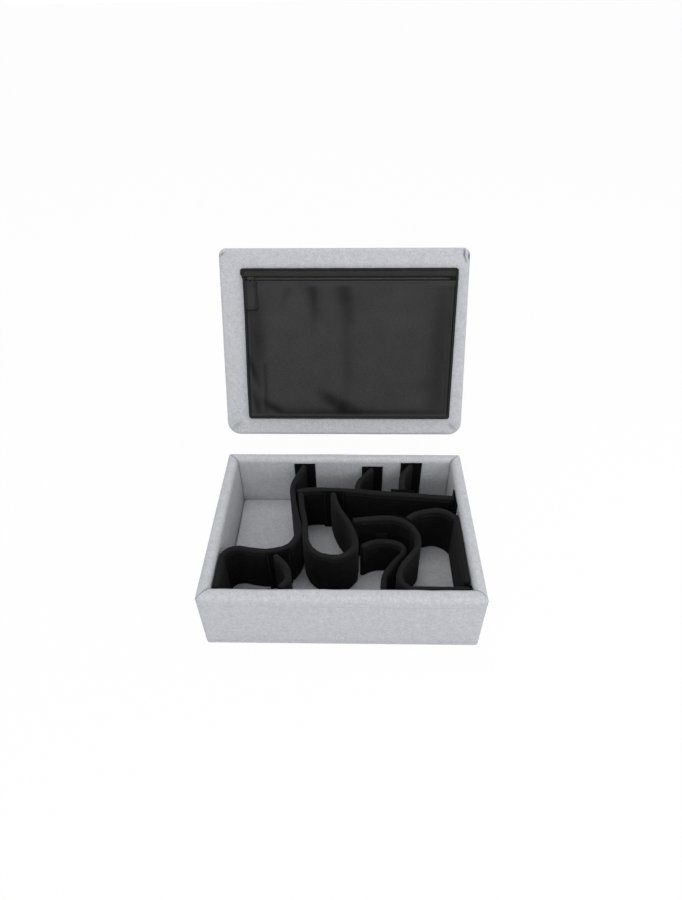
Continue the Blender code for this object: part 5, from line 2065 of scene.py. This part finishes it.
@dataclass
class Zipper:
    """Two tape halves, their teeth, the slider and the pull.

    A tooth's sections give its width as a share of its head's, a place along it in
    millimetres and its height as a share of the tape's depth. The cord's shares give
    places across a tape half, to its far edge, and heights as shares of the cord. The
    slider's and the flanges' shares are of half the slider's length and width.
    """

    face: LidFace
    pitch: float = 4.0 * MM
    head: float = 1.68 * MM
    tooth_round: float = 0.28 * MM
    tooth_turns: int = 2
    tooth_overlap: float = 0.3 * MM
    tooth_sections: tuple[tuple[float, float, float], ...] = (
        (0.62, 2.9, 0.9), (0.68, 1.6, 1.0), (1.0, 0.55, 1.0), (1.0, -0.15, 1.0), (0.72, -0.68, 1.0))
    tape: float = 0.6 * MM
    tape_columns: int = 240
    tape_gap: float = 1.2 * MM
    tape_closed_gap: float = 0.05 * MM
    tape_closing: tuple[float, float] = (0.8 * MM, 2.8 * MM)
    cord: float = 0.45 * MM
    cord_shares: tuple[tuple[float, float], ...] = (
        (0.0, 0.5), (0.25, 1.0), (0.6, 1.15), (1.0, 1.0), (1.4, 0.5), (1.8, 0.0), (3.0, 0.0),
        (5.0, 0.0), (9.6, 0.0))
    slider_wall: float = 0.9 * MM
    slider_flange: float = 1.0 * MM
    slider_lift: float = 0.4 * MM
    slider_clearance: float = 0.3 * MM
    slider_edge: float = 0.22 * MM
    slider_shares: tuple[tuple[float, float], ...] = (
        (-1.0, 0.62), (-0.92, 0.86), (-0.55, 0.94), (0.0, 0.93), (0.5, 1.0), (0.9, 0.98), (1.0, 0.8))
    flange_shares: tuple[float, float] = (0.96, 0.99)
    bail_width: float = 3.0 * MM
    bail_thickness: float = 0.75 * MM
    bail_span: float = 3.4 * MM
    bail_root: float = 0.3 * MM
    bail_squareness: float = 0.8
    bail_points: int = 11
    ring_corner: float = 1.8 * MM
    ring_turns: int = 6
    ring_step: float = 3 * MM
    ring_sides: int = 12

    def __post_init__(self) -> None:
        """Read the zipper's line and levels from its CAD tapes."""
        upper, lower = self.face.box("zip_tape_upper"), self.face.box("zip_tape_lower")
        self.line = float((upper[1][1] + lower[0][1]) / 2)
        self.depth = upper[1][2] - upper[0][2]
        self.top = upper[1][2]

    def build(self) -> None:
        """Make the zipper's pieces."""
        self.build_tape("upper", 1)
        self.build_tape("lower", -1)
        self.build_slider()
        wire = self.build_ring()
        PullTab(self.face, wire).build()

    def tooth(self, way: int) -> bpy.types.Object:
        """One moulded tooth: a waisted block with a raised head, its root on the cord."""
        rings = []
        for width_share, up, height_share in self.tooth_sections:
            outline = round_profile(self.head * width_share, self.depth, self.tooth_round,
                                    self.depth, self.tooth_turns)
            rings.append(np.column_stack([outline[:, 0], np.full(len(outline), way * up * MM),
                                          outline[:, 1] * height_share + self.depth / 2]))
        return lofted("tooth", np.array(rings))

    def build_tape(self, name: str, way: int) -> None:
        """Make one tape half with its cord and its row of teeth.

        Args:
            name: "upper" or "lower".
            way: 1 for the upper half, -1 for the lower one.
        """
        node = f"zip_tape_{name}"
        low, high = self.face.box(node)
        points = self.face.points(node)
        surface = np.unique(np.round(points[:, 2], WELD_DECIMALS))[-2]
        far = high[1] if way > 0 else low[1]
        teeth = points[way * (points[:, 1] - self.line) < -self.tooth_overlap][:, 0]
        first, last = teeth.min() + self.head / 2, teeth.max() - self.head / 2
        middle, length = (first + last) / 2, last - first
        across = np.linspace(low[0], high[0], self.tape_columns)
        past = np.abs(across - middle) - length / 2
        closing = step_up(past, *self.tape_closing)
        edge = self.line + way * (self.tape_gap - (self.tape_gap - self.tape_closed_gap) * closing)
        places, rises = np.array(self.cord_shares).T
        ups = edge + (far - edge) * (places / places[-1])[:, None]
        plan = np.stack([np.broadcast_to(across, ups.shape), ups], axis=2)
        grid = self.face.level(plan, surface + self.cord * rises[:, None])
        piece = sheet_of(f"zipper_tape_{name}", grid[::way], self.tape)
        dress(piece, Look.ZIPPER_TAPE, Slot.ZIPPER, LID, node)
        float(high[0] - low[0])
        float(abs(far - self.line))
        row = Repeats.run(f"zipper_teeth_{name}", Repeats.in_field(), self.tooth(way),
                          Look.MOULDED_TEETH, [], Width=float(length), Height=0.0, Rows=1,
                          Columns=round(length / self.pitch) + 1)
        row.data.transform(self.face.matrix(np.array([middle, self.line, low[2]]), 1))
        row.data.set_sharp_from_angle(angle=SMOOTH_ANGLE)
        dress(row, Look.MOULDED_TEETH, Slot.ZIPPER, LID)

    def build_slider(self) -> None:
        """Make the slider: a waisted top plate, two flanges and the bail."""
        low, high = self.face.box("zip_slider")
        centre, half = ((low + high) / 2)[:2], (high - low)[:2] / 2
        under = self.top + self.slider_clearance
        top = under + self.slider_wall
        edge = half * self.slider_shares
        skin = Skin()
        self.plate(skin, centre + np.vstack([edge, edge[::-1] * [1, -1]]), under, top)
        for way in (-1, 1):
            side = edge * self.flange_shares * [1, way]
            inner = side - [0, way * self.slider_flange]
            self.plate(skin, centre + np.vstack([side, inner[::-1]]), low[2] + self.slider_lift,
                       under + self.slider_wall / 2)
        rings = self.bail(high[2] - top)
        skin.loft(self.face.place(rings + [*centre, top]))
        piece = skin.build("zipper_slider")
        bevel = piece.modifiers.new("edges", "BEVEL")
        bevel.width = self.slider_edge
        bevel.segments = 2
        dress(piece, Look.COATED_METAL, Slot.METAL, "zip_slider", "zip_slider")

    def plate(self, skin: Skin, outline: np.ndarray, low: float, high: float) -> None:
        """Add a plate: an outline in plan between two levels."""
        skin.loft(np.array([self.face.level(outline, level) for level in (low, high)]))

    def bail(self, height: float) -> np.ndarray:
        """Rings of the arch that holds the pull's ring, over the middle of the plate.

        Args:
            height: From the plate to the arch's top.

        Returns:
            The rings, on the lid's own directions.
        """
        rise = height - self.bail_thickness / 2
        turns = np.linspace(math.pi, 0, self.bail_points)
        arch = np.column_stack([self.bail_span * np.cos(turns),
                                rise * np.sin(turns) ** self.bail_squareness])
        path = np.vstack([[(-self.bail_span, -self.bail_root)], arch,
                          [(self.bail_span, -self.bail_root)]])
        outline = [(-1, -1), (-1, 1), (1, 1), (1, -1)] * np.array(
            [self.bail_thickness, self.bail_width]) / 2
        return swept(path, plan_normals(path), outline)[..., [2, 0, 1]]

    def build_ring(self) -> float:
        """Make the pull's wire ring, and return its wire's radius."""
        low, high = self.face.box("pull_ring")
        wire = float(high[2] - low[2]) / 2
        centre = (low + high) / 2
        width, height = (high - low)[:2] - 2 * wire
        line = round_profile(width, height, self.ring_corner, self.ring_step, self.ring_turns)
        line += centre[:2]
        outline = circle(wire, self.ring_sides) + [0, centre[2]]
        skin = Skin()
        skin.loft(self.face.place(swept(line, loop_normals(line), outline)), endless=True)
        dress(skin.build("pull_wire_ring"), Look.COATED_METAL, Slot.METAL, PULL, "pull_ring")
        return wire


@dataclass
class PullTab:
    """The pull's webbing tab: folded over the ring's bar, stitched and hemmed.

    Shares of places across are of the tab's width, and other shares are of its
    cloth's thickness or, where they reach down from the bar, of the eye round it.
    """

    face: LidFace
    wire: float
    cloth: float = 1.5 * MM
    eye_gap: float = 0.35 * MM
    step: float = 1.1 * MM
    layer_share: float = 1.05
    hem_ends: tuple[float, float] = (4.6 * MM, 0.4 * MM)
    turn_up_start: float = -0.1 * MM
    turn_up_reach: float = 0.75 * MM
    turn_up_share: float = 0.52
    turn_up_turns: tuple[float, ...] = (30, 60, 90, 120, 150)
    run_start: float = 2 * MM
    run_points: int = 14
    eye_turns: tuple[float, ...] = (-80, -50, -20, 10, 40, 70, 100, 130, 155)
    neck_shares: tuple[float, float] = (1.6, 1.25)
    end_share: float = 3.4
    half_share: float = 0.36
    border_places: tuple[float, ...] = (0.0, 0.02, 0.05, 0.09, 0.12)
    middle_start: float = 0.16
    middle_points: int = 12
    border_gain: float = 0.45
    border_shares: tuple[float, float] = (0.085, 0.125)
    groove: tuple[float, float, float] = (0.75, 0.15, 0.05)
    rim_groove_shade: float = 0.035
    hem_shade_reach: float = 1.6 * MM
    seam_share: float = 0.115
    seam_start: float = 5 * MM
    seam_end_share: float = 3.6
    seam_level_share: float = 0.42
    seam_points: int = 20
    cross_seam_share: float = 0.14
    cross_seam_start: float = 4.0 * MM
    cross_seam_end_share: float = 3.0
    cross_seam_level_share: float = 1.5
    cross_seam_points: int = 12

    def __post_init__(self) -> None:
        """Read the tab's box and the ring's bar from their CAD solids."""
        self.low, self.high = self.face.box("pull_tab")
        ring_low, ring_high = self.face.box("pull_ring")
        self.bar = np.array([ring_low[1] + self.wire, (ring_low[2] + ring_high[2]) / 2])
        self.eye = self.wire + self.eye_gap + self.cloth / 2
        self.start, self.back = self.low[1], self.low[2] + self.cloth / 2

    def path(self) -> np.ndarray:
        """The middle of the cloth, from the hem at the lower end round the ring's bar.

        Returns:
            Points as a height up the lid's face and a level out of it.
        """
        cloth, back, start = self.cloth, self.back, self.start
        over = back + cloth * self.layer_share
        hem = [(start + place, over) for place in self.hem_ends]
        turns = np.radians(self.turn_up_turns)
        turn_up = np.column_stack([
            start + self.turn_up_start + self.turn_up_reach * (1 - np.sin(turns)),
            back + cloth * self.turn_up_share * (1 + np.cos(turns))])
        run = np.linspace((start + self.run_start, back), (self.bar[0] - self.eye, back),
                          self.run_points)
        loop = self.bar + self.eye * spokes(np.radians(self.eye_turns))
        down, level = self.neck_shares
        end = [(self.bar[0] - self.eye * down, back + cloth * level),
               (self.bar[0] - self.eye * self.end_share, over)]
        return np.vstack([hem, turn_up, run, loop, end])

    def build(self) -> None:
        """Make the tab and its stitching."""
        left, width = self.low[0], self.high[0] - self.low[0]
        route = respaced(self.path(), self.step)
        border = np.array(self.border_places)
        middle = np.linspace(self.middle_start, 1 - self.middle_start, self.middle_points)
        shares = np.concatenate([border, middle, 1 - border[::-1]])
        from_edge = np.minimum(shares, 1 - shares)
        half = 1 + self.border_gain * (1 - step_up(from_edge, *self.border_shares))
        outline = np.column_stack([half * self.cloth * self.half_share, left + width * shares])
        outline = np.vstack([outline, outline[::-1] * [-1, 1]])
        rings = swept(route, plan_normals(route), outline)[..., [2, 0, 1]]
        piece = lofted("pull_webbing", self.face.place(rings))
        # Painted shade: the mark darkens the webbing along grooves inside its borders, at its edges and round the
        # turned-up hem.
        depth, place, reach = self.groove
        groove = depth * np.exp(-((from_edge - place) / reach) ** 2)
        groove += np.exp(-(from_edge / self.rim_groove_shade) ** 2)
        turned = np.exp(-((route[:, 0] - self.start) / self.hem_shade_reach) ** 2)[:, None]
        mark(piece, "crease", turned + np.concatenate([groove, groove[::-1]]))
        dress(piece, Look.WEBBING, Slot.NYLON, PULL, "pull_tab")
        length = float(lengths_along(route)[-1])
        self.sew(left, width)

    def sew(self, left: float, width: float) -> None:
        """Sew the tab along both sides, and across at its hem and below the ring.

        Args:
            left: Where the tab starts across the lid.
            width: Its width.
        """
        foot, head = self.start + self.seam_start, self.bar[0] - self.eye * self.seam_end_share
        level = self.back + self.cloth * self.seam_level_share
        for share in (self.seam_share, 1 - self.seam_share):
            across = left + width * share
            row = np.linspace((across, foot), (across, head), self.seam_points)
            self.face.sew(row, level, PULL)
        inset = width * self.cross_seam_share
        level = self.back + self.cloth * self.cross_seam_level_share
        for up in (self.start + self.cross_seam_start,
                   self.bar[0] - self.eye * self.cross_seam_end_share):
            row = np.linspace((left + inset, up), (left + width - inset, up),
                              self.cross_seam_points)
            self.face.sew(row, level, PULL)


# Studio

@dataclass(frozen=True)
class Lamp:
    """A large soft lamp that looks at a target."""

    name: str
    place: Place
    target: Place
    size: float
    power: float

    def build(self) -> None:
        """Make the lamp."""
        data = bpy.data.lights.new(self.name, "AREA")
        data.shape = "DISK"
        data.size = self.size
        data.energy = self.power
        lamp = linked(self.name, data)
        lamp.location = self.place
        aim = Vector(self.target) - Vector(self.place)
        lamp.rotation_euler = aim.to_track_quat("-Z", "Y").to_euler()


@dataclass
class Studio:
    """Camera, soft light and a plain floor."""

    camera_place: Place = (0.0205, -0.8168, 1.0484)
    yaw: float = 0.0268
    pitch: float = 0.7198
    roll: float = 0.0139
    focal_pixels: float = 587.07
    frame_height: float = 900.0
    sensor: float = 36.0
    ambient: float = 0.72
    floor_size: float = 30.0
    floor_gap: float = 0.5 * MM
    floor_tone: Colour = (0.86, 0.86, 0.87, 1.0)
    floor_glow: float = 0.95
    lamps: tuple[Lamp, ...] = (
        Lamp("key_light", (-0.6, -1.6, 2.3), (0.0, 0.1, 0.15), 1.2, 9.5),
        Lamp("front_light", (0.0, -2.2, 1.25), (0.0, 0.2, 0.3), 0.7, 7.0),
        Lamp("top_light", (-0.1, 0.6, 2.8), (0.0, -0.05, 0.1), 1.0, 11.0),
        Lamp("side_light", (1.7, -0.7, 1.3), (0.0, 0.0, 0.15), 1.2, 9.0),
    )

    def build(self) -> None:
        """Set up the whole studio."""
        bpy.context.scene.view_settings.view_transform = "Standard"
        self.build_camera()
        self.build_world()
        self.build_floor()
        for lamp in self.lamps:
            lamp.build()

    def build_camera(self) -> None:
        """The camera at the photograph's angle."""
        data = bpy.data.cameras.new("camera")
        data.sensor_width = self.sensor
        data.lens = self.sensor * self.focal_pixels / self.frame_height
        camera = linked("camera", data)
        forward = Vector((-math.sin(self.yaw) * math.cos(self.pitch),
                          math.cos(self.yaw) * math.cos(self.pitch), -math.sin(self.pitch)))
        right = Vector((math.cos(self.yaw), math.sin(self.yaw), 0.0))
        level = Matrix((right, right.cross(forward), -forward)).transposed().to_4x4()
        tilt = Matrix.Rotation(-self.roll, 4, "Z")
        camera.matrix_world = Matrix.Translation(self.camera_place) @ level @ tilt
        bpy.context.scene.camera = camera

    def build_world(self) -> None:
        """Even ambient light, and plain white behind everything."""
        world = bpy.data.worlds.new("studio")
        world.use_nodes = True
        bpy.context.scene.world = world
        world.node_tree.nodes.clear()
        graph = Graph(world.node_tree)
        soft, white = (graph.value("ShaderNodeBackground", {"Color": WHITE, "Strength": strength})
                       for strength in (self.ambient, 1.0))
        mixed = graph.value("ShaderNodeMixShader", {0: graph.seen(), 1: soft, 2: white})
        graph.add("ShaderNodeOutputWorld", {0: mixed})

    def build_floor(self) -> None:
        bpy.ops.mesh.primitive_plane_add(size=self.floor_size, location=(0, 0, -self.floor_gap))
        floor = bpy.context.object
        floor.name = "studio_floor"
        floor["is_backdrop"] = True
        coat = Coat("studio_floor", Base_Color=self.floor_tone, Roughness=0.9,
                    Specular_IOR_Level=0.1)
        glow = coat.value("ShaderNodeEmission", {"Color": WHITE, "Strength": 1.0})
        plain = Value(coat, coat.shader.outputs[0])
        mixed = coat.value("ShaderNodeMixShader", {0: coat.seen() * self.floor_glow, 1: plain, 2: glow})
        coat.feed(coat.tree.nodes["Material Output"].inputs["Surface"], mixed)
        floor.data.materials.append(coat.material)


def write_sizes() -> None:
    """Gather the CAD box and the visual model's box side by side."""
    boxes = {name: [list(corner) for corner in box]
             for name, box in (("cad", CAD_BOX), ("visual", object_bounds()))}


def main() -> None:
    """Build the studio and every sub-assembly."""
    logging.basicConfig(level=logging.INFO, format="%(name)s %(message)s")
    Studio().build()
    Tray().build()
    Dividers().build()
    face = LidFace()
    LidPanel(face).build()
    Pocket(face).build()
    Zipper(face).build()
    SEAMS.sew()
    write_sizes()


if __name__ == "__main__":
    main()
